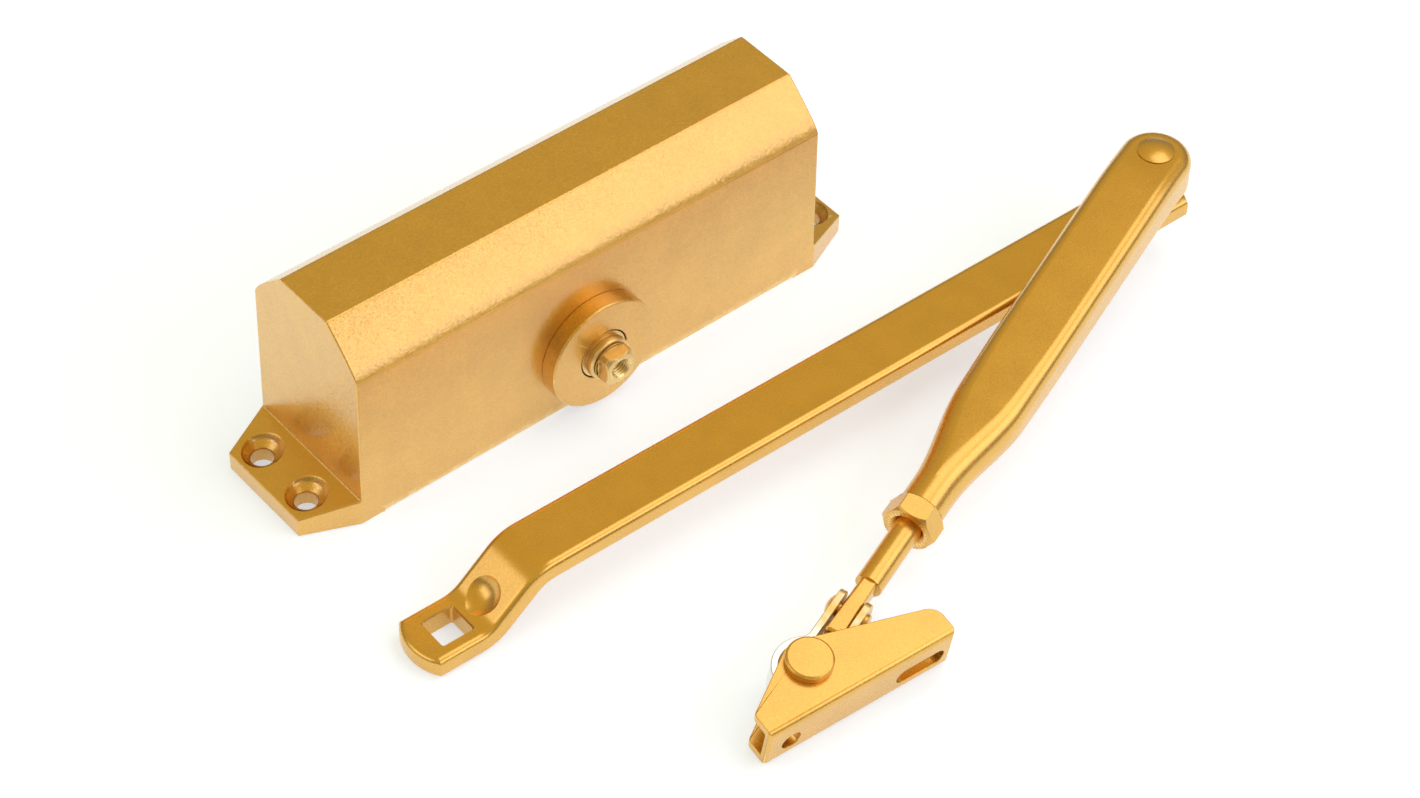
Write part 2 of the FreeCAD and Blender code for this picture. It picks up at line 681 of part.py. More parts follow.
# ---------------------------------------------------------------- main arm and elbow
def make_main_arm():
    """Flat bar joggled up from the square spindle hole to the elbow hole."""
    body = new_body("main_arm")
    bend = "(arm_bend_start + arm_bend_run)"
    tip = "(-arm_tip_reach)"
    end = "(arm_length + arm_elbow_reach)"
    lift = "(arm_thickness * arm_bend_lift_share)"
    profile = [(tip, "0"), (f"arm_bend_start + {lift}", "0"), (f"{bend} + {lift}", "arm_joggle"),
               (end, "arm_joggle"), (end, ARM_TOP), (bend, ARM_TOP), ("arm_bend_start", "arm_thickness"),
               (tip, "arm_thickness")]
    extrude(body, loops(body, "XZ_Plane", "arm_profile", profile), "Pad", "arm_width", both=True)
    corners = []
    for along, back in ((tip, f"({tip} + arm_tip_bulge)"), (end, f"({end} - arm_tip_bulge)")):
        for hand in ("", "-"):
            corners.append([(along, f"{hand}(arm_tip_flat / 2)"), (back, f"{hand}(arm_width / 2)"),
                            (along, f"{hand}(arm_width / 2 + overcut)")])
    cropped = loops(body, "XY_Plane", "arm_corners", *corners)
    extrude(body, cropped, "Pocket", f"{ARM_TOP} + overcut", reverse=True)
    half = "arm_square / 2"
    square = rectangle(f"-{half}", half, f"-{half}", half)
    punched = loops(body, "XY_Plane", "square_hole", square)
    extrude(body, punched, "Pocket", "arm_thickness + overcut", reverse=True)
    sketch = circles(body, "XY_Plane", "elbow_hole", ("arm_length", "0", "rivet_diameter + 2 * running"))
    extrude(body, sketch, "Pocket", f"{ARM_TOP} + overcut", reverse=True)
    node(body, "main_arm", arm_place)


def make_elbow():
    """Shouldered rivet with a domed head, and the washer that it holds between the arms."""
    shank = "rivet_diameter / 2"
    tail = "rivet_tail_diameter / 2"
    head = "rivet_head_diameter / 2"
    under = "(arm_joggle - axial)"
    top = f"({FOREARM_FLOOR} + forearm_depth)"
    foot = f"({under} - rivet_tail_rise)"
    crown = f"({top} + rivet_head_rise)"
    round_off = f"({top} + rivet_head_rise * (1 - rivet_crown_share / 6))"
    rivet = turned("elbow_rivet", [
        ("0", foot), (f"{tail} - rivet_tail_edge", foot), (tail, f"{foot} + rivet_tail_edge"), (tail, under),
        (shank, under), (shank, top), (head, top), (head, f"{top} + rivet_head_edge"),
        (f"{head} * rivet_crown_share", round_off), ("0", crown)])
    node(rivet, "elbow_rivet", place(elbow.x, elbow.y, 0))
    lower = f"{ARM_TOP} + axial"
    washer = turned("elbow_washer", ring_profile(shank, "washer_diameter / 2", lower, FOREARM_FLOOR))
    node(washer, "elbow_washer", place(elbow.x, elbow.y, 0))


# ---------------------------------------------------------------- forearm, lock nut and rod
def forearm_section(body, name, along, top, bottom, width, corner):
    """Rectangle with cut corners, across the forearm at a distance from the elbow."""
    side = f"({width} / 2)"
    sketch = loops(body, "YZ_Plane", name, [
        (f"-{side} + {corner}", bottom), (f"{side} - {corner}", bottom), (side, f"{bottom} + {corner}"),
        (side, f"{top} - {corner}"), (f"{side} - {corner}", top), (f"-{side} + {corner}", top),
        (f"-{side}", f"{top} - {corner}"), (f"-{side}", f"{bottom} + {corner}")], offset=along)
    return sketch


def make_forearm():
    """Round-ended forging: a flat eye, a sloping beam, a taper and a round bored neck."""
    body = new_body("forearm")
    top = f"({FOREARM_FLOOR} + forearm_depth)"
    fall = "tan(forearm_drop)"

    def line(along):
        return f"(rod_line_height - {along} * {fall})"

    stations = [
        ("eye_end", "(-forearm_width / 2)", top, FOREARM_FLOOR, "forearm_width", "forearm_corner"),
        ("eye_root", "forearm_eye_flat", top, FOREARM_FLOOR, "forearm_width", "forearm_corner"),
        ("beam_end", "forearm_taper_start", f"({line('forearm_taper_start')} + forearm_waist_depth / 2)",
         f"({line('forearm_taper_start')} - forearm_waist_depth / 2)", "forearm_width", "forearm_corner"),
        ("neck_root", "forearm_taper_end", f"({line('forearm_taper_end')} + neck_diameter / 2)",
         f"({line('forearm_taper_end')} - neck_diameter / 2)", "neck_diameter", "neck_diameter * 0.2929"),
    ]
    sketches = [forearm_section(body, *station) for station in stations]
    document.recompute()
    loft = body.newObject("PartDesign::AdditiveLoft", "beam")
    loft.Profile = sketches[0]
    loft.Sections = sketches[1:]
    loft.Ruled = True
    document.recompute()

    round_end = primitive("Cylinder", "eye_round", Radius="forearm_width / 2", Height="2 * rod_line_height")
    shaft = primitive("Box", "beam_plan", Length="neck_end", Width="forearm_width",
                      Height="2 * rod_line_height")
    shaft.setExpression("Placement.Base.y", formula("-forearm_width / 2"))
    plan = combine("MultiFuse", "forearm_plan", round_end, [shaft])
    beam = combine("Common", "forearm_beam", body, [plan])

    along_rod = FreeCAD.Rotation(Y_AXIS, 90 + size("forearm_drop"))
    neck = primitive("Cylinder", "neck", Radius="neck_diameter / 2",
                     Height="neck_end - forearm_taper_end + overcut")
    slope = math.radians(size("forearm_drop"))

    def on_line(distance):
        height = size("rod_line_height") - distance * math.sin(slope)
        return FreeCAD.Vector(distance * math.cos(slope), 0, height)

    neck.Placement = FreeCAD.Placement(on_line(size("forearm_taper_end") - size("overcut")), along_rod)
    stock = combine("MultiFuse", "forearm_stock", beam, [neck])

    bore = primitive("Cylinder", "rod_bore", Radius="rod_diameter / 2 + sliding",
                     Height="neck_end - rod_bore_start + overcut")
    bore.Placement = FreeCAD.Placement(on_line(size("rod_bore_start")), along_rod)
    hole = primitive("Cylinder", "rivet_hole", Radius="rivet_diameter / 2", Height="2 * rod_line_height")
    relief = primitive("Box", "arm_relief", Length="arm_length", Width="arm_width * 3", Height=FOREARM_FLOOR)
    turn = FreeCAD.Rotation(Z_AXIS, -size("forearm_fold"))
    side = size("arm_width") / 2 + size("loose")
    corner = turn.multVec(FreeCAD.Vector(-size("forearm_width"), side - 3 * size("arm_width"), 0))
    relief.Placement = FreeCAD.Placement(corner, turn)
    node(combine("Cut", "forearm_cut", stock, [bore, hole, relief]), "forearm", forearm_place)


def make_rod_set():
    """Lock nut against the neck, and the rod with its flat tang."""
    nut = new_body("lock_nut")
    side = "(nut_width / 2 / cos(30))"
    hexagon = [(f"{side} * cos({60 * step})", f"{side} * sin({60 * step})") for step in range(6)]
    sketch = loops(nut, "YZ_Plane", "nut_hexagon", hexagon, offset="neck_end")
    extrude(nut, sketch, "Pad", "nut_length")
    bore = ("0", "0", "rod_diameter + 2 * running")
    sketch = circles(nut, "YZ_Plane", "nut_bore", bore, offset="neck_end - overcut")
    extrude(nut, sketch, "Pocket", "nut_length + 2 * overcut", reverse=True)
    node(nut, "lock_nut", rod_place)

    rod = new_body("adjusting_rod")
    sketch = circles(rod, "YZ_Plane", "shank_round", ("0", "0", "rod_diameter"), offset="rod_inner_end")
    extrude(rod, sketch, "Pad", "rod_step - rod_inner_end")
    half = "tang_height / 2"
    crop = "tang_height / 4"
    tang = [("rod_step - overcut", f"-{half}"), (f"tang_end - {crop}", f"-{half}"),
            ("tang_end", f"-{half} + {crop}"), ("tang_end", f"{half} - {crop}"),
            (f"tang_end - {crop}", half), ("rod_step - overcut", half)]
    extrude(rod, loops(rod, "XZ_Plane", "tang_outline", tang), "Pad", "tang_width", both=True)
    hole = ("cross_rivet_distance", "0", "cross_rivet_diameter + 2 * running")
    extrude(rod, circles(rod, "XZ_Plane", "tang_hole", hole), "Pocket", "2 * tang_width", both=True)
    node(rod, "adjusting_rod", rod_place)


# ---------------------------------------------------------------- knuckle and foot bracket
def make_knuckle():
    """Strap looped round the bush, with two legs that a cross rivet joins to the rod's tang."""
    outer = "(bush_diameter / 2 + strap_thickness)"
    lower = "-strap_height / 2"
    ring = primitive("Cylinder", "strap_ring", Radius=outer, Height="strap_height")
    ring.setExpression("Placement.Base.z", formula(lower))
    legs = primitive("Box", "strap_legs", Length="foot_pin_distance - strap_leg_end",
                     Width="strap_gap + 2 * strap_thickness", Height="strap_height")
    legs.setExpression("Placement.Base.x", formula("strap_leg_end - foot_pin_distance"))
    legs.setExpression("Placement.Base.y", formula("-strap_gap / 2 - strap_thickness"))
    legs.setExpression("Placement.Base.z", formula(lower))
    loop = primitive("Cylinder", "strap_loop_space", Radius="bush_diameter / 2", Height="2 * strap_height")
    loop.setExpression("Placement.Base.z", formula("-strap_height"))
    gap = primitive("Box", "strap_gap_space", Length="2 * (foot_pin_distance - strap_leg_end)",
                    Width="strap_gap", Height="2 * strap_height")
    gap.setExpression("Placement.Base.x", formula("2 * (strap_leg_end - foot_pin_distance)"))
    gap.setExpression("Placement.Base.y", formula("-strap_gap / 2"))
    gap.setExpression("Placement.Base.z", formula("-strap_height"))
    hole = primitive("Cylinder", "strap_rivet_hole", place(0, 0, 0, 90, X_AXIS),
                     Radius="cross_rivet_diameter / 2", Height="4 * strap_gap")
    hole.setExpression("Placement.Base.x", formula("cross_rivet_distance - foot_pin_distance"))
    hole.setExpression("Placement.Base.y", formula("2 * strap_gap"))
    stock = combine("MultiFuse", "strap_stock", ring, [legs])
    node(combine("Cut", "strap_cut", stock, [loop, gap, hole]), "knuckle_strap", strap_place)

    side = "(strap_gap / 2 + strap_thickness)"
    shank = "cross_rivet_diameter / 2"
    head = "cross_head_diameter / 2"
    tail = "cross_tail_diameter / 2"
    foot = f"(-{side} - cross_tail_rise)"
    rivet = turned("cross_rivet", [
        ("0", foot), (f"{tail} - cross_edge", foot), (tail, f"{foot} + cross_edge"), (tail, f"-{side}"),
        (shank, f"-{side}"), (shank, side),
        (head, side), (head, f"{side} + cross_edge"),
        (f"{head} * cross_crown_share", f"{side} + cross_head_rise * (1 - cross_crown_share / 4)"),
        ("0", f"{side} + cross_head_rise")])
    where = rod_place.multiply(place(size("cross_rivet_distance"), 0, 0, 90, X_AXIS))
    node(rivet, "knuckle_rivet", where)
    bush = turned("pin_bush", ring_profile("pin_diameter / 2 + running", "bush_diameter / 2", lower,
                                           "strap_height / 2"))
    node(bush, "pin_bush", strap_place)


def tangent(across, up, hand):
    """Where the line from a corner touches the round eye about the origin, as two formulas."""
    distance = f"sqrt(({across})^2 + ({up})^2)"
    angle = f"(atan2({up}; {across}) {hand} acos(bracket_eye_radius / {distance}))"
    return f"bracket_eye_radius * cos({angle})", f"bracket_eye_radius * sin({angle})"


def make_foot_bracket():
    """Folded channel: two eared flanges for the pin and a web with the fixing slot and hole."""
    body = new_body("foot_bracket")
    web = "(-bracket_web_reach)"
    left = ("-bracket_left", "-bracket_left_shoulder")
    right = ("bracket_right", "-bracket_right_shoulder")
    cheek = [("-bracket_left", web), ("bracket_right - bracket_corner", web),
             ("bracket_right", f"{web} + bracket_corner"),
             ("bracket_right", "-bracket_right_shoulder - bracket_corner"),
             ("bracket_right - bracket_corner", "-bracket_right_shoulder + bracket_corner * 0.3"),
             tangent(*right, "+"), tangent(*left, "-"), left]
    extrude(body, loops(body, "XY_Plane", "cheek_outline", cheek), "Pad", "bracket_height", both=True)
    extrude(body, circles(body, "XY_Plane", "eye_outline", ("0", "0", "2 * bracket_eye_radius")), "Pad",
            "bracket_height", both=True)
    channel = rectangle("-bracket_left - overcut", "bracket_right + overcut", f"{web} + bracket_sheet",
                        "bracket_web_reach")
    extrude(body, loops(body, "XY_Plane", "channel_space", channel), "Pocket",
            "bracket_height - 2 * bracket_sheet", both=True)
    extrude(body, circles(body, "XY_Plane", "pin_holes", ("0", "0", "pin_diameter")), "Pocket",
            "bracket_height + 2 * overcut", both=True)
    level = "bracket_hole_drop"
    half = "slot_width / 2"
    crop = "slot_width / 4"
    slot = [(f"slot_inner + {crop}", f"{level} - {half}"), (f"slot_outer - {crop}", f"{level} - {half}"),
            ("slot_outer", f"{level} - {crop}"), ("slot_outer", f"{level} + {crop}"),
            (f"slot_outer - {crop}", f"{level} + {half}"), (f"slot_inner + {crop}", f"{level} + {half}"),
            ("slot_inner", f"{level} + {crop}"), ("slot_inner", f"{level} - {crop}")]
    depth = "bracket_web_reach - bracket_sheet - overcut"
    sketch = loops(body, "XZ_Plane", "fixing_slot", slot, offset=depth)
    extrude(body, sketch, "Pocket", "bracket_sheet + 2 * overcut", reverse=True)
    sketch = circles(body, "XZ_Plane", "fixing_hole", ("bracket_hole_place", level, "bracket_hole_diameter"),
                     offset=depth)
    extrude(body, sketch, "Pocket", "bracket_sheet + 2 * overcut", reverse=True)
    node(body, "foot_bracket", bracket_place)

    face = "(bracket_height / 2)"
    shank = "pin_diameter / 2"
    tail = "pin_tail_diameter / 2"
    head = "pin_head_diameter / 2"
    pin = turned("foot_pin", [("0", f"-{face} - pin_tail_rise"), (tail, f"-{face} - pin_tail_rise"),
                              (tail, f"-{face}"), (shank, f"-{face}"), (shank, face), (head, face),
                              (head, f"{face} + pin_head_rise"), ("0", f"{face} + pin_head_rise")])
    node(pin, "foot_pin", bracket_place)


make_housing()
make_end_plug()
make_bearings("front", 90)
make_bearings("rear", -90)
make_spindle()
make_piston()
make_check_valve()
make_spring()
make_valve("closing", -1)
make_valve("latching", 1)
make_main_arm()
make_elbow()
make_forearm()
make_rod_set()
make_knuckle()
make_foot_bracket()
document.recompute()

# ---------------------------------------------------------------- checks and files
for item in document.Objects:
    if "Invalid" in item.State or "Error" in item.State:
        raise RuntimeError(f"{item.Label} failed: {item.State}")
os.makedirs("parts", exist_ok=True)
for item in NODES:
    if item.Shape.isNull() or not item.Shape.isValid() or not item.Shape.Solids:
        raise RuntimeError(f"{item.Label} has no sound solid")
for item in NODES:
    item.Shape.exportStep(f"parts/{item.Label}.step")
    box = item.Shape.BoundBox
    print(f"{item.Label:22s} volume {item.Shape.Volume:9.1f}  x {box.XMin:7.2f} {box.XMax:7.2f}"
          f"  y {box.YMin:7.2f} {box.YMax:7.2f}  z {box.ZMin:6.2f} {box.ZMax:6.2f}")
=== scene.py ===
"""Looks and studio for an overhead door closer that lies beside its loose two-piece arm.

Each piece is modelled in millimetres in its own frame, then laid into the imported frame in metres.  The
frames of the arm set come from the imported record: its joints and mounts say where each piece lies.
"""

import json
import logging
import math
from contextlib import contextmanager
from dataclasses import dataclass
from enum import Enum
from typing import Callable, Iterator, Sequence

import bpy
from mathutils import Matrix, Vector


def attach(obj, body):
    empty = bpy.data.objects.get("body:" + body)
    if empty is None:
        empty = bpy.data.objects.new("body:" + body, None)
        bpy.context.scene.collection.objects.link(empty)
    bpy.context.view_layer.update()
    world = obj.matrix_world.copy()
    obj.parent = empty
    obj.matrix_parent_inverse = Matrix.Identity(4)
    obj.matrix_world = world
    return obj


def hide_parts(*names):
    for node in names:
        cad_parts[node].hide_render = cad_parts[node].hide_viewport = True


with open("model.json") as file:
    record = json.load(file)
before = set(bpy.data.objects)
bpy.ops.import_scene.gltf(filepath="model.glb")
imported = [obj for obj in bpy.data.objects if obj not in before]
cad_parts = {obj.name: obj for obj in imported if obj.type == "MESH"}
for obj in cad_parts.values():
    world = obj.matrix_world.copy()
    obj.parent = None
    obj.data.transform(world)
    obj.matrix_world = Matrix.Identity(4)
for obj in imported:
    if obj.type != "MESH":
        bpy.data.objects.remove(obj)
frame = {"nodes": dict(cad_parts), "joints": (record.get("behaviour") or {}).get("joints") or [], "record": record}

LOG = logging.getLogger("door_closer")
MILLIMETRE = 0.001
OVERCUT = 1.0
Outline = list[tuple[float, float]]


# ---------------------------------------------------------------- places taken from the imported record
def joint(name: str) -> dict:
    """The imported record's joint of that name."""
    return next(item for item in frame["joints"] if item["name"] == name)


def mount(name: str) -> dict:
    """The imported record's mount of that name."""
    return next(item for item in frame["record"]["mounts"] if item["name"] == name)


def in_millimetres(point: Sequence[float]) -> Vector:
    """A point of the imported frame, in millimetres."""
    return Vector(point) / MILLIMETRE


def frame_from(origin: Vector, along: Vector, up: Vector) -> Matrix:
    """A right-handed frame from its origin and two of its axes.

    Args:
        origin: where the frame's zero lies.
        along: the direction of its X axis.
        up: a direction in its XZ plane.

    Returns:
        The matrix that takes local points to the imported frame, in millimetres.
    """
    x_axis = along.normalized()
    y_axis = up.cross(x_axis).normalized()
    z_axis = x_axis.cross(y_axis)
    turn = Matrix((x_axis, y_axis, z_axis)).transposed().to_4x4()
    return Matrix.Translation(origin) @ turn


@dataclass(frozen=True)
class Places:
    """The frames that the pieces are modelled in."""

    closer: Matrix
    front_shaft: Matrix
    rear_shaft: Matrix
    main_arm: Matrix
    elbow: Matrix
    forearm: Matrix
    rod: Matrix
    cross_rivet: Matrix
    strap: Matrix
    bracket: Matrix
    spindle_centre: Vector

    @classmethod
    def read(cls) -> "Places":
        """Works the frames out from the record's joints and mounts."""
        up = Vector((0, 0, 1))
        spindle = in_millimetres(joint("spindle_turn")["pos_m"])
        square = in_millimetres(mount("arm_square_hole")["pos_m"])
        elbow = in_millimetres(joint("elbow_turn")["pos_m"])
        square.z = elbow.z = 0
        rod_axis = Vector(joint("lock_nut_turn")["axis"])
        side_axis = Vector(joint("knuckle_tilt")["axis"])
        rise_axis = Vector(joint("foot_turn")["axis"])
        pin = in_millimetres(joint("foot_turn")["pos_m"])
        cross = in_millimetres(joint("knuckle_tilt")["pos_m"])
        flat_axis = Vector((rod_axis.x, rod_axis.y, 0))
        rod_start = pin - rod_axis * ((pin.xy - elbow.xy).length / flat_axis.length)
        slot_place = Vector(mount("foot_bracket_slot")["pos_m"])
        web_axis = slot_place - Vector(mount("foot_bracket_hole")["pos_m"])
        return cls(
            closer=Matrix.Identity(4),
            front_shaft=frame_from(spindle, Vector((1, 0, 0)), Vector((0, -1, 0))),
            rear_shaft=frame_from(spindle, Vector((1, 0, 0)), Vector((0, 1, 0))),
            main_arm=frame_from(square, elbow - square, up),
            elbow=Matrix.Translation(elbow),
            forearm=frame_from(elbow, flat_axis, up),
            rod=frame_from(rod_start, rod_axis, rise_axis),
            cross_rivet=frame_from(cross, rod_axis, -side_axis),
            strap=frame_from(pin, rod_axis, rise_axis),
            bracket=frame_from(pin, web_axis, rise_axis),
            spindle_centre=spindle,
        )


# ---------------------------------------------------------------- the modelling bench
class Pick(Enum):
    """What is picked on a piece in edit mode."""

    POINTS = 0
    EDGES = 1
    FACES = 2


class Axis(Enum):
    """The direction that a prism or a lathe piece stands in."""

    X = "X"
    Y = "Y"
    Z = "Z"

    def stand(self) -> Matrix:
        """The turn that lays a Z-standing piece along this axis, its outline kept the right way round."""
        columns = {"X": ((0, 0, 1), (1, 0, 0), (0, 1, 0)),
                   "Y": ((1, 0, 0), (0, 0, -1), (0, 1, 0)),
                   "Z": ((1, 0, 0), (0, 1, 0), (0, 0, 1))}[self.value]
        return Matrix(columns).to_4x4()


def rounded(corners: Sequence[tuple[float, float, float]], step: float = 9.0) -> Outline:
    """Rounds the corners of a closed outline.

    Args:
        corners: each corner's place and the radius that it is rounded to, 0 for a sharp one.
        step: degrees of arc between neighbouring points.

    Returns:
        The outline's points, in the order of its corners.
    """
    points: Outline = []
    count = len(corners)
    for index, (across, up, radius) in enumerate(corners):
        here = Vector((across, up))
        to_last = (Vector(corners[index - 1][:2]) - here).normalized()
        to_next = (Vector(corners[(index + 1) % count][:2]) - here).normalized()
        if radius == 0:
            points.append((across, up))
            continue
        half = math.acos(max(-1.0, min(1.0, to_last.dot(to_next)))) / 2
        bisector = (to_last + to_next).normalized()
        centre = here + bisector * (radius / math.sin(half))
        start = here + to_last * (radius / math.tan(half)) - centre
        sweep = math.pi - 2 * half
        turn = math.copysign(sweep, to_last.cross(to_next) * -1)
        steps = max(2, round(math.degrees(sweep) / step))
        for part in range(steps + 1):
            angle = turn * part / steps
            cosine, sine = math.cos(angle), math.sin(angle)
            points.append((centre.x + start.x * cosine - start.y * sine,
                           centre.y + start.x * sine + start.y * cosine))
    return points


def arc(centre: tuple[float, float], radius: float, start: float, end: float, steps: int) -> Outline:
    """Points on an arc, with its two ends, from one angle in degrees to another."""
    angles = [math.radians(start + (end - start) * part / steps) for part in range(steps + 1)]
    return [(centre[0] + radius * math.cos(angle), centre[1] + radius * math.sin(angle)) for angle in angles]


def smooth_step(value: float, low: float, high: float) -> float:
    """Rises smoothly from 0 at low to 1 at high."""
    share = max(0.0, min(1.0, (value - low) / (high - low)))
    return share * share * (3 - 2 * share)


class Workpiece:
    """A mesh on the bench, in millimetres, with the moves that shape it."""

    def __init__(self, obj: bpy.types.Object) -> None:
        """Takes a mesh object onto the bench."""
        self.obj = obj

    # -- starting shapes
    @staticmethod
    def clear_bench() -> None:
        """Leaves edit mode and deselects everything."""
        if bpy.context.mode != "OBJECT":
            bpy.ops.object.mode_set(mode="OBJECT")
        bpy.ops.object.select_all(action="DESELECT")

    @classmethod
    def _take(cls, name: str) -> "Workpiece":
        """Names the primitive just added and puts its size and place into its mesh."""
        obj = bpy.context.object
        obj.name = obj.data.name = name
        bpy.ops.object.transform_apply(location=True, rotation=True, scale=True)
        return cls(obj)

    @classmethod
    def block(cls, name: str, low: Sequence[float], high: Sequence[float]) -> "Workpiece":
        """A rectangular block between two corners."""
        cls.clear_bench()
        low, high = Vector(low), Vector(high)
        bpy.ops.mesh.primitive_cube_add(size=1, location=(low + high) / 2, scale=high - low)
        return cls._take(name)

    @classmethod
    def prism(cls, name: str, outline: Outline, low: float, high: float, axis: Axis = Axis.Z) -> "Workpiece":
        """A filled outline, extruded.

        Args:
            name: the piece's name.
            outline: the outline's points.
            low: where the prism starts along its axis.
            high: where it ends.
            axis: the direction that it stands in.

        Returns:
            The prism.
        """
        cls.clear_bench()
        bpy.ops.mesh.primitive_circle_add(vertices=len(outline), radius=1, fill_type="NGON")
        piece = cls._take(name)
        for vertex, (across, up) in zip(piece.obj.data.vertices, outline):
            vertex.co = (across, up, low)
        with piece.picked(Pick.FACES):
            bpy.ops.mesh.extrude_region_move(TRANSFORM_OT_translate={"value": (0, 0, high - low)})
        piece.obj.data.transform(axis.stand())
        piece.face_outwards()
        return piece

    @classmethod
    def lathe(cls, name: str, profile: Outline, sides: int = 64, axis: Axis = Axis.Z) -> "Workpiece":
        """A turned piece: a ring extruded and resized from step to step of its profile.

        Args:
            name: the piece's name.
            profile: radius and height of each step; the ends close where a radius is 0 or the profile closes.
            sides: how many facets go round.
            axis: the direction that it stands in.

        Returns:
            The turned piece.
        """
        cls.clear_bench()
        smallest = 1e-3
        steps = [(max(radius, smallest), height) for radius, height in profile]
        bpy.ops.mesh.primitive_circle_add(vertices=sides, radius=steps[0][0], location=(0, 0, steps[0][1]))
        piece = cls._take(name)
        with piece.picked(Pick.EDGES):
            for (radius, height), (wider, higher) in zip(steps, steps[1:]):
                bpy.ops.mesh.extrude_edges_move(TRANSFORM_OT_translate={"value": (0, 0, higher - height)})
                ratio = wider / radius
                bpy.ops.transform.resize(value=(ratio, ratio, 1), center_override=(0, 0, higher))
        piece.merge(smallest * 2)
        piece.obj.data.transform(axis.stand())
        piece.face_outwards()
        return piece

    @classmethod
    def wrapped(cls, name: str, columns: int, rows: int, place: Callable[[int, int], Vector]) -> "Workpiece":
        """A grid wrapped over a form, each of its points laid at its place.

        Args:
            name: the piece's name.
            columns: faces along the form.
            rows: faces across it.
            place: gives a point's place from its column and row.

        Returns:
            The wrapped grid, its meeting edges merged.
        """
        cls.clear_bench()
        bpy.ops.mesh.primitive_grid_add(x_subdivisions=columns, y_subdivisions=rows, size=1)
        piece = cls._take(name)
        for vertex in piece.obj.data.vertices:
            column = round((vertex.co.x + 0.5) * columns)
            row = round((vertex.co.y + 0.5) * rows)
            vertex.co = place(column, row)
        piece.merge(1e-3)
        return piece

    # -- picking and editing
    def activate(self) -> None:
        """Makes this piece the only selected and active object."""
        self.clear_bench()
        self.obj.select_set(True)
        bpy.context.view_layer.objects.active = self.obj

    @contextmanager
    def picked(self, kind: Pick, test: Callable[..., bool] | None = None) -> Iterator[None]:
        """Edit mode with what passes the test selected.

        Args:
            kind: whether points, edges or faces are picked.
            test: takes a point's place, an edge's two ends, or a face's centre and normal; all if it is None.

        Yields:
            Nothing; edit mode ends with the block.
        """
        mesh = self.obj.data
        self.activate()
        for group in (mesh.vertices, mesh.edges, mesh.polygons):
            group.foreach_set("select", [False] * len(group))
        if kind is Pick.POINTS:
            for vertex in mesh.vertices:
                vertex.select = test is None or test(vertex.co)
        elif kind is Pick.EDGES:
            for edge in mesh.edges:
                ends = [mesh.vertices[index].co for index in edge.vertices]
                edge.select = test is None or test(*ends)
        else:
            for face in mesh.polygons:
                face.select = test is None or test(face.center, face.normal)
        modes = [kind is member for member in Pick]
        bpy.context.tool_settings.mesh_select_mode = modes
        bpy.ops.object.mode_set(mode="EDIT")
        yield
        bpy.ops.object.mode_set(mode="OBJECT")

    def merge(self, distance: float) -> None:
        """Merges points that lie together."""
        with self.picked(Pick.POINTS):
            bpy.ops.mesh.remove_doubles(threshold=distance)
            bpy.ops.mesh.dissolve_degenerate(threshold=distance)

    def face_outwards(self) -> None:
        """Turns every face outwards."""
        with self.picked(Pick.FACES):
            bpy.ops.mesh.normals_make_consistent(inside=False)

    def bevel(self, width: float, segments: int, test: Callable[[Vector, Vector], bool]) -> "Workpiece":
        """Rounds the edges that pass the test."""
        with self.picked(Pick.EDGES, test):
            bpy.ops.mesh.bevel(offset=width, segments=segments, affect="EDGES", clamp_overlap=False)
        return self

    def slice(self, normal: Sequence[float], distances: Sequence[float]) -> "Workpiece":
        """Adds a loop of edges where each plane crosses the piece."""
        direction = Vector(normal)
        with self.picked(Pick.FACES):
            for distance in distances:
                bpy.ops.mesh.select_all(action="SELECT")
                bpy.ops.mesh.bisect(plane_co=direction * distance, plane_no=direction)
        return self

    def reshape(self, rule: Callable[[Vector], Vector]) -> "Workpiece":
        """Moves every point by a rule."""
        for vertex in self.obj.data.vertices:
            vertex.co = rule(vertex.co.copy())
        return self

    def moved(self, matrix: Matrix) -> "Workpiece":
        """Moves the whole mesh by a matrix."""
        self.obj.data.transform(matrix)
        return self

    # -- modifiers
    def modify(self, kind: str, **settings: object) -> None:
        """Adds a modifier with its settings and applies it."""
        self.activate()
        modifier = self.obj.modifiers.new(kind.title(), kind)
        for name, value in settings.items():
            setattr(modifier, name, value)
        bpy.ops.object.modifier_apply(modifier=modifier.name)

    def carve(self, *tools: "Workpiece", operation: str = "DIFFERENCE") -> "Workpiece":
        """Cuts tools from the piece, joins them to it or keeps what they share, and throws the tools away."""
        for tool in tools:
            self.modify("BOOLEAN", operation=operation, solver="EXACT", object=tool.obj)
            mesh = tool.obj.data
            bpy.data.objects.remove(tool.obj)
            bpy.data.meshes.remove(mesh)
        return self

    def soften(self, width: float, segments: int = 3, angle: float = 32.0) -> "Workpiece":
        """Rounds every edge that is sharper than an angle in degrees."""
        self.modify("BEVEL", width=width, segments=segments, limit_method="ANGLE",
                    angle_limit=math.radians(angle), use_clamp_overlap=False, miter_outer="MITER_ARC")
        return self

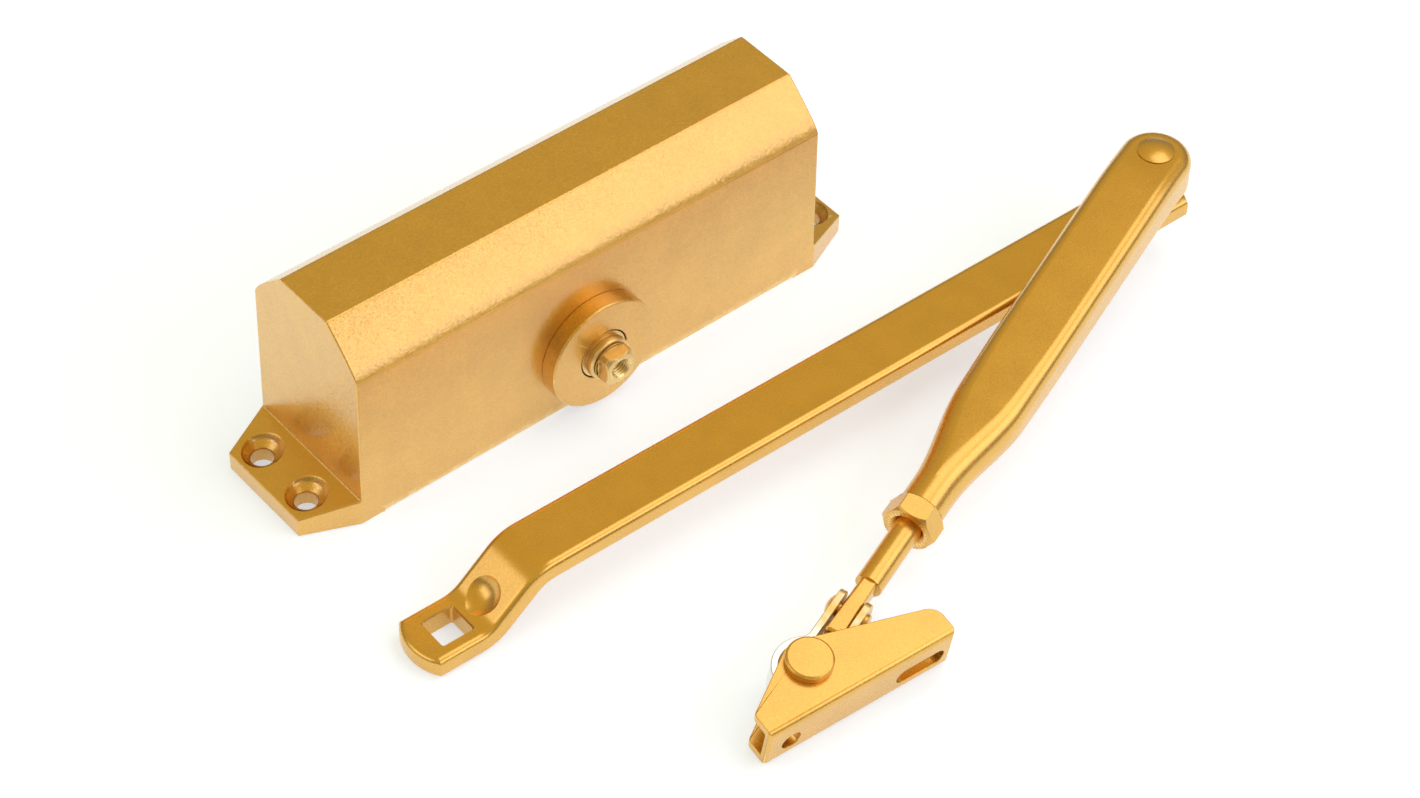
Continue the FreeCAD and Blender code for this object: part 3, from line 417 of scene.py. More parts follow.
    def finish(self, place: Matrix, body: str, node: str, slot: str, finishes: "Finishes",
               smooth: float = 32.0) -> bpy.types.Object:
        """Shades the piece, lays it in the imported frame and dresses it.

        Args:
            place: the frame that it was modelled in.
            body: the CAD body that it rides on.
            node: the CAD node that it stands for.
            slot: the record's material slot.
            finishes: every material, by slot.
            smooth: faces that meet at less than this angle, in degrees, are shaded as one.

        Returns:
            The finished object.
        """
        self.merge(1e-4)
        self.obj.data.transform(Matrix.Scale(MILLIMETRE, 4) @ place)
        self.activate()
        bpy.ops.object.shade_smooth_by_angle(angle=math.radians(smooth))
        self.modify("WEIGHTED_NORMAL", keep_sharp=True, mode="FACE_AREA", weight=50)
        self.obj.data.materials.clear()
        self.obj.data.materials.append(finishes[slot])
        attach(self.obj, body)
        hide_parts(node)
        LOG.info("%s: %d faces on body %s", self.obj.name, len(self.obj.data.polygons), body)
        return self.obj


# ---------------------------------------------------------------- shader node groups
class Nodes:
    """A short hand for wiring a node tree."""

    def __init__(self, tree: bpy.types.NodeTree) -> None:
        """Works on one tree."""
        self.tree = tree

    def add(self, kind: str, **inputs: object) -> bpy.types.Node:
        """Adds a node and sets or links its inputs.

        Args:
            kind: the node's Blender name without its ShaderNode prefix.
            **inputs: node settings in lower case, and sockets as in_0, in_1 or by name with spaces as _.

        Returns:
            The node.
        """
        node = self.tree.nodes.new(f"ShaderNode{kind}")
        for name, value in inputs.items():
            if name.startswith("in_"):
                socket = node.inputs[int(name[3:])]
            elif name[0].isupper():
                socket = node.inputs[name.replace("_", " ")]
            else:
                setattr(node, name, value)
                continue
            if isinstance(value, bpy.types.NodeSocket):
                self.tree.links.new(value, socket)
            else:
                socket.default_value = value
        return node

    def math(self, operation: str, first: object, second: object = 0.0) -> bpy.types.NodeSocket:
        """A sum on two values."""
        return self.add("Math", operation=operation, in_0=first, in_1=second).outputs[0]

    def group(self, name: str, **inputs: object) -> bpy.types.Node:
        """Places a shared group in the tree and sets its inputs."""
        node = self.tree.nodes.new("ShaderNodeGroup")
        node.node_tree = bpy.data.node_groups[name]
        for title, value in inputs.items():
            node.inputs[title.replace("_", " ")].default_value = value
        return node


def new_group(name: str, inputs: dict[str, float], outputs: dict[str, str]) -> tuple[Nodes, bpy.types.Node,
                                                                                     bpy.types.Node]:
    """Starts a shader node group.

    Args:
        name: the group's name.
        inputs: the name and default of each value that it takes.
        outputs: the name and socket type of each result.

    Returns:
        The group's wiring, its input node and its output node.
    """
    tree = bpy.data.node_groups.new(name, "ShaderNodeTree")
    for title, default in inputs.items():
        socket = tree.interface.new_socket(title, in_out="INPUT", socket_type="NodeSocketFloat")
        socket.default_value = default
    for title, kind in outputs.items():
        tree.interface.new_socket(title, in_out="OUTPUT", socket_type=kind)
    return Nodes(tree), tree.nodes.new("NodeGroupInput"), tree.nodes.new("NodeGroupOutput")


def make_fleck_group() -> None:
    """Metal flakes in paint: each small cell leans the surface and shines a little its own way."""
    wiring, given, result = new_group("Metal flecks", {"Size": 0.25, "Lean": 0.2},
                                      {"Normal": "NodeSocketVector", "Shade": "NodeSocketFloat"})
    place = wiring.add("TexCoord").outputs["Object"]
    count = wiring.math("DIVIDE", 1 / MILLIMETRE, given.outputs["Size"])
    cells = wiring.add("TexVoronoi", feature="F1", Vector=place, Scale=count, Randomness=1.0)
    centred = wiring.add("VectorMath", operation="SUBTRACT", in_0=cells.outputs["Color"],
                         in_1=(0.5, 0.5, 0.5))
    scaled = wiring.add("VectorMath", operation="SCALE", in_0=centred.outputs[0])
    wiring.tree.links.new(given.outputs["Lean"], scaled.inputs["Scale"])
    surface = wiring.add("NewGeometry").outputs["Normal"]
    leaning = wiring.add("VectorMath", operation="ADD", in_0=surface, in_1=scaled.outputs[0])
    unit = wiring.add("VectorMath", operation="NORMALIZE", in_0=leaning.outputs[0])
    tone = wiring.add("SeparateColor", in_0=cells.outputs["Color"])
    wiring.tree.links.new(unit.outputs[0], result.inputs["Normal"])
    wiring.tree.links.new(tone.outputs[0], result.inputs["Shade"])


def make_grain_group() -> None:
    """The skin of a casting or a pressing: a fine orange peel over slow swells."""
    wiring, given, result = new_group("Surface grain", {"Grain": 0.6, "Swell": 9.0, "Swell share": 0.3},
                                      {"Height": "NodeSocketFloat", "Blotch": "NodeSocketFloat"})
    place = wiring.add("TexCoord").outputs["Object"]
    fine_scale = wiring.math("DIVIDE", 1 / MILLIMETRE, given.outputs["Grain"])
    slow_scale = wiring.math("DIVIDE", 1 / MILLIMETRE, given.outputs["Swell"])
    fine = wiring.add("TexNoise", Vector=place, Scale=fine_scale, Detail=3.0, Roughness=0.62)
    slow = wiring.add("TexNoise", Vector=place, Scale=slow_scale, Detail=2.0, Roughness=0.5)
    swell = wiring.math("MULTIPLY", slow.outputs["Fac"], given.outputs["Swell share"])
    height = wiring.math("ADD", fine.outputs["Fac"], swell)
    wiring.tree.links.new(height, result.inputs["Height"])
    wiring.tree.links.new(slow.outputs["Fac"], result.inputs["Blotch"])


def make_edge_light_and_shade_group() -> None:
    """Edges and hollows: a bulge is painted brighter, partly as rubbed paint and partly as a painted highlight,
    and a fold is painted darker as painted shade.
    """
    wiring, given, result = new_group("Edge highlight and hollow shade", {"Edge": 0.62, "Hollow": 0.40, "Break up": 0.35},
                                      {"Worn edge and highlight": "NodeSocketFloat", "Hollow shade": "NodeSocketFloat"})
    bulge = wiring.add("NewGeometry").outputs["Pointiness"]
    place = wiring.add("TexCoord").outputs["Object"]
    patches = wiring.add("TexNoise", Vector=place, Scale=420.0, Detail=3.0).outputs["Fac"]
    patchy = wiring.math("MULTIPLY", wiring.math("SUBTRACT", patches, 0.5), given.outputs["Break up"])
    loose = wiring.math("MULTIPLY_ADD", patchy, 0.2)
    loose.node.inputs[2].default_value = 0.0
    wiring.tree.links.new(bulge, loose.node.inputs[2])
    steep = 18.0
    # Painted highlight on bulging edges (partly rubbed paint), and painted shade in folds and hollows.
    worn_edge_and_highlight = wiring.math("MULTIPLY", wiring.math("SUBTRACT", loose, given.outputs["Edge"]), steep)
    hollow_shade = wiring.math("MULTIPLY", wiring.math("SUBTRACT", given.outputs["Hollow"], loose), steep)
    for value, title in ((worn_edge_and_highlight, "Worn edge and highlight"), (hollow_shade, "Hollow shade")):
        held = wiring.add("Clamp", in_0=value)
        wiring.tree.links.new(held.outputs[0], result.inputs[title])


def make_turning_group() -> None:
    """Fine rings left by a lathe or a grinding wheel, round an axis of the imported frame."""
    wiring, given, result = new_group("Turning marks", {"Pitch": 0.3}, {"Height": "NodeSocketFloat"})
    place = wiring.add("TexCoord").outputs["Object"]
    scale = wiring.math("DIVIDE", 1 / MILLIMETRE, given.outputs["Pitch"])
    spread = wiring.add("VectorMath", operation="SCALE", in_0=place)
    wiring.tree.links.new(scale, spread.inputs["Scale"])
    stretched = wiring.add("VectorMath", operation="MULTIPLY", in_0=spread.outputs[0], in_1=(1.0, 0.08, 0.08))
    lines = wiring.add("TexNoise", Vector=stretched.outputs[0], Scale=1.0, Detail=4.0, Roughness=0.7)
    wiring.tree.links.new(lines.outputs["Fac"], result.inputs["Height"])


# ---------------------------------------------------------------- finishes
Colour = tuple[float, float, float]


def opaque(colour: Colour) -> tuple[float, float, float, float]:
    """The colour with full opacity."""
    return (*colour, 1.0)


def scaled(colour: Colour, factor: float) -> Colour:
    """The colour made lighter or darker."""
    return tuple(min(1.0, part * factor) for part in colour)


@dataclass(frozen=True)
class GoldPaint:
    """Satin gold paint full of metal flakes, sprayed on a casting or a pressing."""

    name: str
    colour: Colour
    worn_highlight_colour: Colour
    hollow_shade_colour: Colour
    roughness: float
    coat: float
    coat_roughness: float
    grain: float
    grain_depth: float
    fleck: float
    fleck_lean: float
    fleck_contrast: float

    def build(self) -> bpy.types.Material:
        """The paint as a Blender material."""
        material = bpy.data.materials.new(self.name)
        material.use_nodes = True
        wiring = Nodes(material.node_tree)
        shader = material.node_tree.nodes["Principled BSDF"]
        flecks = wiring.group("Metal flecks", Size=self.fleck, Lean=self.fleck_lean)
        skin = wiring.group("Surface grain", Grain=self.grain, Swell_share=0.06)
        edge_light_and_shade = wiring.group("Edge highlight and hollow shade")
        speck = wiring.add("MapRange", Value=flecks.outputs["Shade"], To_Min=1 - self.fleck_contrast,
                           To_Max=1 + self.fleck_contrast).outputs[0]
        blotch = wiring.add("MapRange", Value=skin.outputs["Blotch"], From_Min=0.3, From_Max=0.7,
                            To_Min=0.96, To_Max=1.04).outputs[0]
        tone = wiring.math("MULTIPLY", speck, blotch)
        paint = wiring.add("VectorMath", operation="SCALE", in_0=self.colour)
        wiring.tree.links.new(tone, paint.inputs["Scale"])
        # Bulging edges are mixed toward a pale gold: partly rubbed paint, partly a painted highlight.
        bright = wiring.add("Mix", data_type="RGBA", in_0=edge_light_and_shade.outputs["Worn edge and highlight"], in_6=paint.outputs[0],
                            in_7=opaque(self.worn_highlight_colour)).outputs[2]
        # Folds and hollows are mixed toward a dark gold: painted shade.
        hollow_shade_share = wiring.math("MULTIPLY", edge_light_and_shade.outputs["Hollow shade"], 0.55)
        colour = wiring.add("Mix", data_type="RGBA", in_0=hollow_shade_share, in_6=bright,
                            in_7=opaque(self.hollow_shade_colour)).outputs[2]
        rough = wiring.add("MapRange", Value=skin.outputs["Height"], From_Min=0.3, From_Max=0.9,
                           To_Min=self.roughness - 0.05, To_Max=self.roughness + 0.05).outputs[0]
        bump = wiring.add("Bump", Strength=0.5, Distance=self.grain_depth * MILLIMETRE,
                          Height=skin.outputs["Height"], Normal=flecks.outputs["Normal"])
        links = material.node_tree.links
        links.new(colour, shader.inputs["Base Color"])
        links.new(rough, shader.inputs["Roughness"])
        links.new(bump.outputs[0], shader.inputs["Normal"])
        shader.inputs["Metallic"].default_value = 0.93
        shader.inputs["Coat Weight"].default_value = self.coat
        shader.inputs["Coat Roughness"].default_value = self.coat_roughness
        shader.inputs["Coat IOR"].default_value = 1.8
        return material


@dataclass(frozen=True)
class BareMetal:
    """Uncoated or plated metal with tool marks and oil, its edges painted lighter: partly rubbed wear, partly a
    painted highlight.
    """

    name: str
    colour: Colour
    roughness: float
    pitch: float
    depth: float
    metallic: float = 1.0

    def build(self) -> bpy.types.Material:
        """The metal as a Blender material."""
        material = bpy.data.materials.new(self.name)
        material.use_nodes = True
        wiring = Nodes(material.node_tree)
        shader = material.node_tree.nodes["Principled BSDF"]
        marks = wiring.group("Turning marks", Pitch=self.pitch)
        skin = wiring.group("Surface grain", Grain=0.25, Swell=4.0)
        edge_light_and_shade = wiring.group("Edge highlight and hollow shade")
        shade = wiring.add("Mix", data_type="RGBA", in_0=skin.outputs["Blotch"],
                           in_6=opaque(scaled(self.colour, 0.82)), in_7=opaque(scaled(self.colour, 1.1)))
        # Bulging edges are painted lighter: partly rubbed metal, partly a painted highlight.
        colour = wiring.add("Mix", data_type="RGBA", in_0=edge_light_and_shade.outputs["Worn edge and highlight"], in_6=shade.outputs[2],
                            in_7=opaque(scaled(self.colour, 1.3))).outputs[2]
        rough = wiring.add("MapRange", Value=marks.outputs["Height"], From_Min=0.3, From_Max=0.7,
                           To_Min=self.roughness * 0.75, To_Max=self.roughness * 1.25).outputs[0]
        bump = wiring.add("Bump", Strength=0.5, Distance=self.depth * MILLIMETRE,
                          Height=marks.outputs["Height"])
        links = material.node_tree.links
        links.new(colour, shader.inputs["Base Color"])
        links.new(rough, shader.inputs["Roughness"])
        links.new(bump.outputs[0], shader.inputs["Normal"])
        shader.inputs["Metallic"].default_value = self.metallic
        return material


@dataclass(frozen=True)
class SealRubber:
    """Matt moulded rubber with a dusty bloom."""

    name: str
    colour: Colour
    bloom: Colour
    roughness: float

    def build(self) -> bpy.types.Material:
        """The rubber as a Blender material."""
        material = bpy.data.materials.new(self.name)
        material.use_nodes = True
        wiring = Nodes(material.node_tree)
        shader = material.node_tree.nodes["Principled BSDF"]
        skin = wiring.group("Surface grain", Grain=0.4, Swell=3.0)
        colour = wiring.add("Mix", data_type="RGBA", in_0=skin.outputs["Blotch"], in_6=opaque(self.colour),
                            in_7=opaque(self.bloom)).outputs[2]
        bump = wiring.add("Bump", Strength=0.4, Distance=0.02 * MILLIMETRE, Height=skin.outputs["Height"])
        links = material.node_tree.links
        links.new(colour, shader.inputs["Base Color"])
        links.new(bump.outputs[0], shader.inputs["Normal"])
        shader.inputs["Roughness"].default_value = self.roughness
        return material


@dataclass(frozen=True)
class OversprayedZinc:
    """Bright zinc strip that the gold spray reached only in part: most on its legs, little on its loop."""

    name: str
    zinc: Colour
    gold: Colour
    centre: Vector
    along: Vector

    def build(self) -> bpy.types.Material:
        """The strip's finish as a Blender material."""
        material = bpy.data.materials.new(self.name)
        material.use_nodes = True
        wiring = Nodes(material.node_tree)
        shader = material.node_tree.nodes["Principled BSDF"]
        place = wiring.add("TexCoord").outputs["Object"]
        offset = wiring.add("VectorMath", operation="SUBTRACT", in_0=place, in_1=self.centre * MILLIMETRE)
        reach = wiring.add("VectorMath", operation="DOT_PRODUCT", in_0=offset.outputs[0], in_1=-self.along)
        legs = wiring.add("MapRange", Value=reach.outputs["Value"], From_Min=6 * MILLIMETRE,
                          From_Max=15 * MILLIMETRE).outputs[0]
        skin = wiring.group("Surface grain", Grain=0.5, Swell=3.0)
        spray = wiring.add("MapRange", Value=skin.outputs["Blotch"], From_Min=0.35, From_Max=0.65,
                           To_Min=0.55, To_Max=1.0).outputs[0]
        share = wiring.math("MULTIPLY", legs, spray)
        colour = wiring.add("Mix", data_type="RGBA", in_0=share, in_6=opaque(self.zinc),
                            in_7=opaque(self.gold)).outputs[2]
        rough = wiring.add("MapRange", Value=share, To_Min=0.24, To_Max=0.38).outputs[0]
        bump = wiring.add("Bump", Strength=0.4, Distance=0.03 * MILLIMETRE, Height=skin.outputs["Height"])
        links = material.node_tree.links
        links.new(colour, shader.inputs["Base Color"])
        links.new(rough, shader.inputs["Roughness"])
        links.new(bump.outputs[0], shader.inputs["Normal"])
        shader.inputs["Metallic"].default_value = 1.0
        return material


GOLD: Colour = (0.77, 0.43, 0.075)
# Pale gold for bulging edges: partly rubbed paint, partly a painted highlight.
GOLD_WORN_EDGE_HIGHLIGHT: Colour = (0.98, 0.72, 0.30)
# Dark gold painted into folds and hollows as painted shade.
GOLD_HOLLOW_SHADE: Colour = (0.36, 0.17, 0.03)


class Finishes:
    """Every material of the closer and its arm, by the record's slot name."""

    def __init__(self, places: Places) -> None:
        """Makes the shared groups first, then the materials."""
        make_fleck_group()
        make_grain_group()
        make_edge_light_and_shade_group()
        make_turning_group()
        kinds = {
            "cast_gold_paint": GoldPaint(
                "Cast gold paint", GOLD, GOLD_WORN_EDGE_HIGHLIGHT, GOLD_HOLLOW_SHADE, roughness=0.35, coat=0.8, coat_roughness=0.16,
                grain=0.75, grain_depth=0.17, fleck=0.30, fleck_lean=0.17, fleck_contrast=0.08),
            "arm_gold_paint": GoldPaint(
                "Arm gold paint", GOLD, GOLD_WORN_EDGE_HIGHLIGHT, GOLD_HOLLOW_SHADE, roughness=0.30, coat=0.45, coat_roughness=0.22,
                grain=0.7, grain_depth=0.012, fleck=0.22, fleck_lean=0.03, fleck_contrast=0.03),
            "spindle_gold_plate": BareMetal("Spindle gold plate", (0.86, 0.62, 0.27), 0.36, 0.35, 0.02),
            "plug_steel": BareMetal("Turned steel", (0.55, 0.54, 0.52), 0.30, 0.30, 0.02),
            "bearing_bronze": BareMetal("Turned bronze", (0.62, 0.42, 0.20), 0.34, 0.30, 0.02),
            "piston_iron": BareMetal("Oiled ground iron", (0.26, 0.26, 0.27), 0.28, 0.25, 0.015),
            "ball_steel": BareMetal("Polished ball steel", (0.72, 0.72, 0.73), 0.10, 0.20, 0.004),
            "spring_steel": BareMetal("Tempered spring wire", (0.20, 0.19, 0.21), 0.36, 0.40, 0.02),
            "valve_brass": BareMetal("Turned brass", (0.78, 0.60, 0.26), 0.27, 0.25, 0.02),
            "seal_rubber": SealRubber("Seal rubber", (0.012, 0.012, 0.013), (0.045, 0.043, 0.040), 0.62),
            "strap_zinc": OversprayedZinc("Oversprayed zinc", (0.80, 0.79, 0.75), (0.84, 0.58, 0.20),
                                          places.strap.translation, places.strap.col[0].xyz),
        }
        self.materials = {slot: kind.build() for slot, kind in kinds.items()}

    def __getitem__(self, slot: str) -> bpy.types.Material:
        """The material of a slot."""
        return self.materials[slot]


# ---------------------------------------------------------------- the closer
@dataclass
class Closer:
    """The cast body with its lugs, caps, plug and speed valves, and the spindle through it."""

    places: Places
    finishes: Finishes
    half_length: float = 74.5
    half_width: float = 21.4
    wall_height: float = 48.5
    height: float = 60.9
    top_half: float = 9.5
    end_draft: float = 1.15
    lug_end: float = 89.4
    lug_half: float = 14.9
    lug_root: float = 8.2
    lug_edge: float = 5.8
    hole_along: float = 83.0
    hole_across: float = 9.5
    hole_radius: float = 3.0
    sink_radius: float = 5.4
    sink_drop: float = 2.4
    cylinder_height: float = 26.4
    cylinder_radius: float = 17.0
    cylinder_left: float = -66.5
    plug_radius: float = 18.0
    plug_inner: float = 61.1
    plug_length: float = 12.0
    valve_across: float = 8.0
    valve_height: float = 49.0
    valve_mouth: float = 72.9
    cap_radius: float = 16.4
    cap_face: float = 26.3
    spindle_tip: float = 33.0

    def build(self) -> None:
        """Makes every piece of the closer that shows from outside."""
        self.housing()
        for side, place in (("front", self.places.front_shaft), ("rear", self.places.rear_shaft)):
            self.cap(side, place)
        self.spindle()
        self.end_plug()
        for name, hand in (("closing", -1), ("latching", 1)):
            self.speed_valve(name, hand)

    def section(self) -> Outline:
        """The body's cross section: upright walls and long crowned chamfers under a narrow top."""
        wall, foot = Vector((self.half_width, self.wall_height)), Vector((self.top_half, self.height))
        lean, crown = Vector((20.4, 51.2)), Vector((14.7, 56.2))
        steps = 12
        curve = []
        for step in range(steps + 1):
            share = step / steps
            rest = 1 - share
            point = (wall * rest ** 3 + lean * (3 * rest * rest * share) + crown * (3 * rest * share * share)
                     + foot * share ** 3)
            curve.append((point.x, point.y))
        mirrored = [(-across, up) for across, up in reversed(curve)]
        return [(self.half_width, 0.0)] + curve + mirrored + [(-self.half_width, 0.0)]

    def lug_top(self, along: float) -> float:
        """The height of a lug's sloping top at a distance from the body's middle."""
        share = (abs(along) - self.half_length) / (self.lug_end - self.half_length)
        return self.lug_root + (self.lug_edge - self.lug_root) * share

    def housing(self) -> None:
        """The casting: the bevelled block, a lug pulled out of each end, and its holes and bores."""
        block = Workpiece.prism("closer_housing", self.section(), -self.half_length, self.half_length, Axis.X)
        block.reshape(lambda point: Vector((
            point.x * (1 - self.end_draft / self.half_length * point.z / self.height), point.y, point.z)))
        block.slice((0, 0, 1), [self.lug_root])
        for side in (1, -1):
            with block.picked(Pick.FACES, lambda centre, normal: normal.x * side > 0.9
                              and centre.z < self.lug_root):
                reach = side * (self.lug_end - self.half_length)
                bpy.ops.mesh.extrude_region_move(TRANSFORM_OT_translate={"value": (reach, 0, 0)})

        def shape_lug(point: Vector) -> Vector:
            if abs(point.x) < self.lug_end - OVERCUT:
                return point
            height = self.lug_edge if point.z > OVERCUT else 0.0
            return Vector((math.copysign(self.lug_end, point.x), math.copysign(self.lug_half, point.y),
                           height))

        block.reshape(shape_lug)
        foot = 67.5
        relief = 0.4
        block.carve(Workpiece.block("relief", (-foot, -30, -OVERCUT), (foot, 30, relief)))
        for side in (1, -1):
            for hand in (1, -1):
                block.carve(self.fixing_tool(side * self.hole_along, hand * self.hole_across))
        block.carve(self.rod_tool("plug", self.plug_radius, self.plug_inner, self.half_length + OVERCUT,
                                  0, self.cylinder_height))
        for hand in (1, -1):
            block.carve(self.rod_tool("valve", 3.5, self.valve_mouth - 14, self.half_length + OVERCUT,
                                      hand * self.valve_across, self.valve_height))
        block.soften(0.42, 3, 14)
        block.carve(self.rod_tool("cylinder", self.cylinder_radius, self.cylinder_left,
                                  self.plug_inner + OVERCUT, 0, self.cylinder_height))
        centre = self.places.spindle_centre
        across = Workpiece.lathe("pinion_space", [(0, -25), (9.6, -25), (9.6, 25), (0, 25)], 48, Axis.Y)
        block.carve(across.moved(Matrix.Translation(centre)))
        for hand in (-1, 1):
            seat = Workpiece.lathe("cap_seat", [(0, 0), (13.5, 0), (13.5, 6), (0, 6)], 64, Axis.Y)
            outer = 23.1 if hand > 0 else -17.1
            block.carve(seat.moved(Matrix.Translation((centre.x, outer, centre.z))))
            block.carve(self.rod_tool("channel", 1.4, -44.2, 60, hand * self.valve_across,
                                      self.valve_height, 24))
        block.finish(self.places.closer, "closer", "housing", "cast_gold_paint", self.finishes)

    def fixing_tool(self, along: float, across: float) -> Workpiece:
        """A drill with a countersink, set over one fixing hole."""
        mouth = self.lug_top(along)
        flare = (self.sink_radius - self.hole_radius) / self.sink_drop
        profile = [(0, -OVERCUT), (self.hole_radius, -OVERCUT), (self.hole_radius, mouth - self.sink_drop),
                   (self.sink_radius - 0.5, mouth - 0.9), (self.sink_radius, mouth),
                   (self.sink_radius + flare * OVERCUT * 0.4, mouth + OVERCUT), (0, mouth + OVERCUT)]
        tool = Workpiece.lathe("fixing_drill", profile, 48)
        return tool.moved(Matrix.Translation((along, across, 0)))

    @staticmethod
    def rod_tool(name: str, radius: float, low: float, high: float, across: float, up: float,
                 sides: int = 72) -> Workpiece:
        """A round bar along X that cuts a bore."""
        tool = Workpiece.lathe(name, [(0, low), (radius, low), (radius, high), (0, high)], sides, Axis.X)
        return tool.moved(Matrix.Translation((0, across, up)))

    def cap(self, side: str, place: Matrix) -> None:
        """A screwed bearing cap: a rounded disc with a lip over the shaft seal."""
        face, rim, wall = self.cap_face, self.cap_radius, self.half_width
        profile = [(10.0, 17.1), (13.45, 17.1), (13.45, wall + 0.02), (rim - 0.5, wall + 0.02)]
        profile += arc((rim - 0.2, wall + 0.22), 0.2, -90, 0, 3)
        profile += arc((rim - 0.6, face - 0.6), 0.6, 0, 90, 5)
        profile += [(7.9, face)] + arc((7.7, face - 0.4), 0.4, 90, 180, 3)
        profile += [(7.3, 25.4), (9.5, 25.4), (9.5, 23.1), (10.0, 23.1), (10.0, 17.1)]
        piece = Workpiece.lathe(f"{side}_cap", profile, 128)
        piece.finish(place, "closer", f"{side}_bearing_cap", "cast_gold_paint", self.finishes)

    def spindle(self) -> None:
        """The pinion shaft, with a shouldered, squared and threaded tip at each end."""
        collar, tip = self.cap_face, self.spindle_tip
        shoulder, groove = collar + 2.6, collar + 3.15
        half = [(7.0, 17.0), (7.0, collar - 0.3), (5.9, collar - 0.3), (5.9, collar + 0.1)]
        half += arc((5.9, collar + 0.5), 0.4, -90, 0, 3) + arc((5.6, shoulder - 0.7), 0.7, 0, 90, 4)
        half += [(4.7, shoulder), (4.7, groove), (5.5, groove), (5.5, tip - 0.9), (4.5, tip), (0, tip)]
        lower = [(radius, -height) for radius, height in reversed(half)]
        shaft = Workpiece.lathe("spindle_shaft", lower + [(5.8, -17.0), (5.8, 17.0)] + half, 72)
        flat, reach = 4.4, 9.0
        for end in (1, -1):
            low, high = sorted((end * groove, end * (tip + OVERCUT)))
            for side in (1, -1):
                edge = sorted((side * flat, side * reach))
                shaft.carve(Workpiece.block("flat", (edge[0], -reach, low), (edge[1], reach, high)),
                            Workpiece.block("flat", (-reach, edge[0], low), (reach, edge[1], high)))
        shaft.soften(0.16, 2, 30)
        for end in (1, -1):
            shaft.carve(self.thread_tool(tip, end))
        teeth: Outline = []
        for tooth in range(10):
            turn = Matrix.Rotation(math.radians(90 + 36 * tooth), 2)
            for across, out in ((-1.25, 5.5), (-0.4, 8.6), (0.4, 8.6), (1.25, 5.5)):
                point = turn @ Vector((out, across))
                teeth.append((point.x, point.y))
        shaft.carve(Workpiece.prism("spindle_teeth", teeth, -16.5, 16.5), operation="UNION")
        shaft.finish(self.places.front_shaft, "spindle", "spindle", "spindle_gold_plate",
                     self.finishes)

    @staticmethod
    def thread_tool(tip: float, end: int) -> Workpiece:
        """A tapping tool: a ridged bar with a lead-in, for one end of the spindle."""
        depth, pitch, root, crest = 12.0, 0.8, 2.5, 2.82
        profile = [(0.0, tip - depth), (root, tip - depth + 1.2)]
        height = tip - depth + 2
        while height < tip - 0.9:
            profile += [(root, height), (crest, height + pitch / 2)]
            height += pitch
        profile += [(root, tip - 0.45), (2.95, tip), (2.95, tip + OVERCUT), (0.0, tip + OVERCUT)]
        tool = Workpiece.lathe("tap", profile, 48)
        return tool if end > 0 else tool.moved(Matrix.Rotation(math.pi, 4, "X"))

    def end_plug(self) -> None:
        """The threaded plug in the right end, with a hexagon key recess and a ring groove."""
        rim, length = self.plug_radius - 0.04, self.plug_length
        groove = length / 2
        profile = [(0, 0), (rim - 0.6, 0), (rim, 0.6), (rim, groove - 1.3), (rim - 2.3, groove - 1.3),
                   (rim - 2.3, groove + 1.3), (rim, groove + 1.3), (rim, length - 0.7), (rim - 0.7, length),
                   (9.2, length), (8.8, length - 0.35), (8.0, length - 0.35), (7.6, length), (0, length)]
        plug = Workpiece.lathe("end_plug_turned", profile, 128)
        key = [(10 / math.sqrt(3) * math.cos(math.radians(60 * step)),
                10 / math.sqrt(3) * math.sin(math.radians(60 * step))) for step in range(6)]
        recess = Workpiece.prism("key_recess", key, length - 6, length + OVERCUT)
        lead = Workpiece.lathe("key_lead", [(0, length - 0.8), (5.1, length - 0.8), (6.3, length + 0.4),
                                            (0, length + 0.4)], 48)
        plug.carve(recess, lead)
        plug.soften(0.2, 2)
        origin = Vector((self.plug_inner, 0, self.cylinder_height))
        place = frame_from(origin, Vector((0, 1, 0)), Vector((1, 0, 0)))
        plug.finish(place, "closer", "end_plug", "plug_steel", self.finishes)

    def speed_valve(self, name: str, hand: int) -> None:
        """A slotted needle screw in the end face, with a groove for its sealing ring."""
        outer, floor, needle, length, ring = 3.45, 2.05, 1.2, 14.0, 6.0
        profile = [(0, -6.0), (needle, -5.0), (needle, 0.1), (outer, 0.1), (outer, ring - 0.8),
                   (floor, ring - 0.8), (floor, ring + 0.8), (outer, ring + 0.8), (outer, length - 0.5),
                   (outer - 0.5, length), (0, length)]
        screw = Workpiece.lathe(f"{name}_valve_screw", profile, 48)
        screw.carve(Workpiece.block("slot", (-5, -0.6, length - 1.5), (5, 0.6, length + OVERCUT)))
        screw.soften(0.12, 2)
        origin = Vector((self.valve_mouth - length, hand * self.valve_across, self.valve_height))
        place = frame_from(origin, Vector((0, 1, 0)), Vector((1, 0, 0)))
        screw.finish(place, f"{name}_valve", f"{name}_speed_valve", "valve_brass", self.finishes)


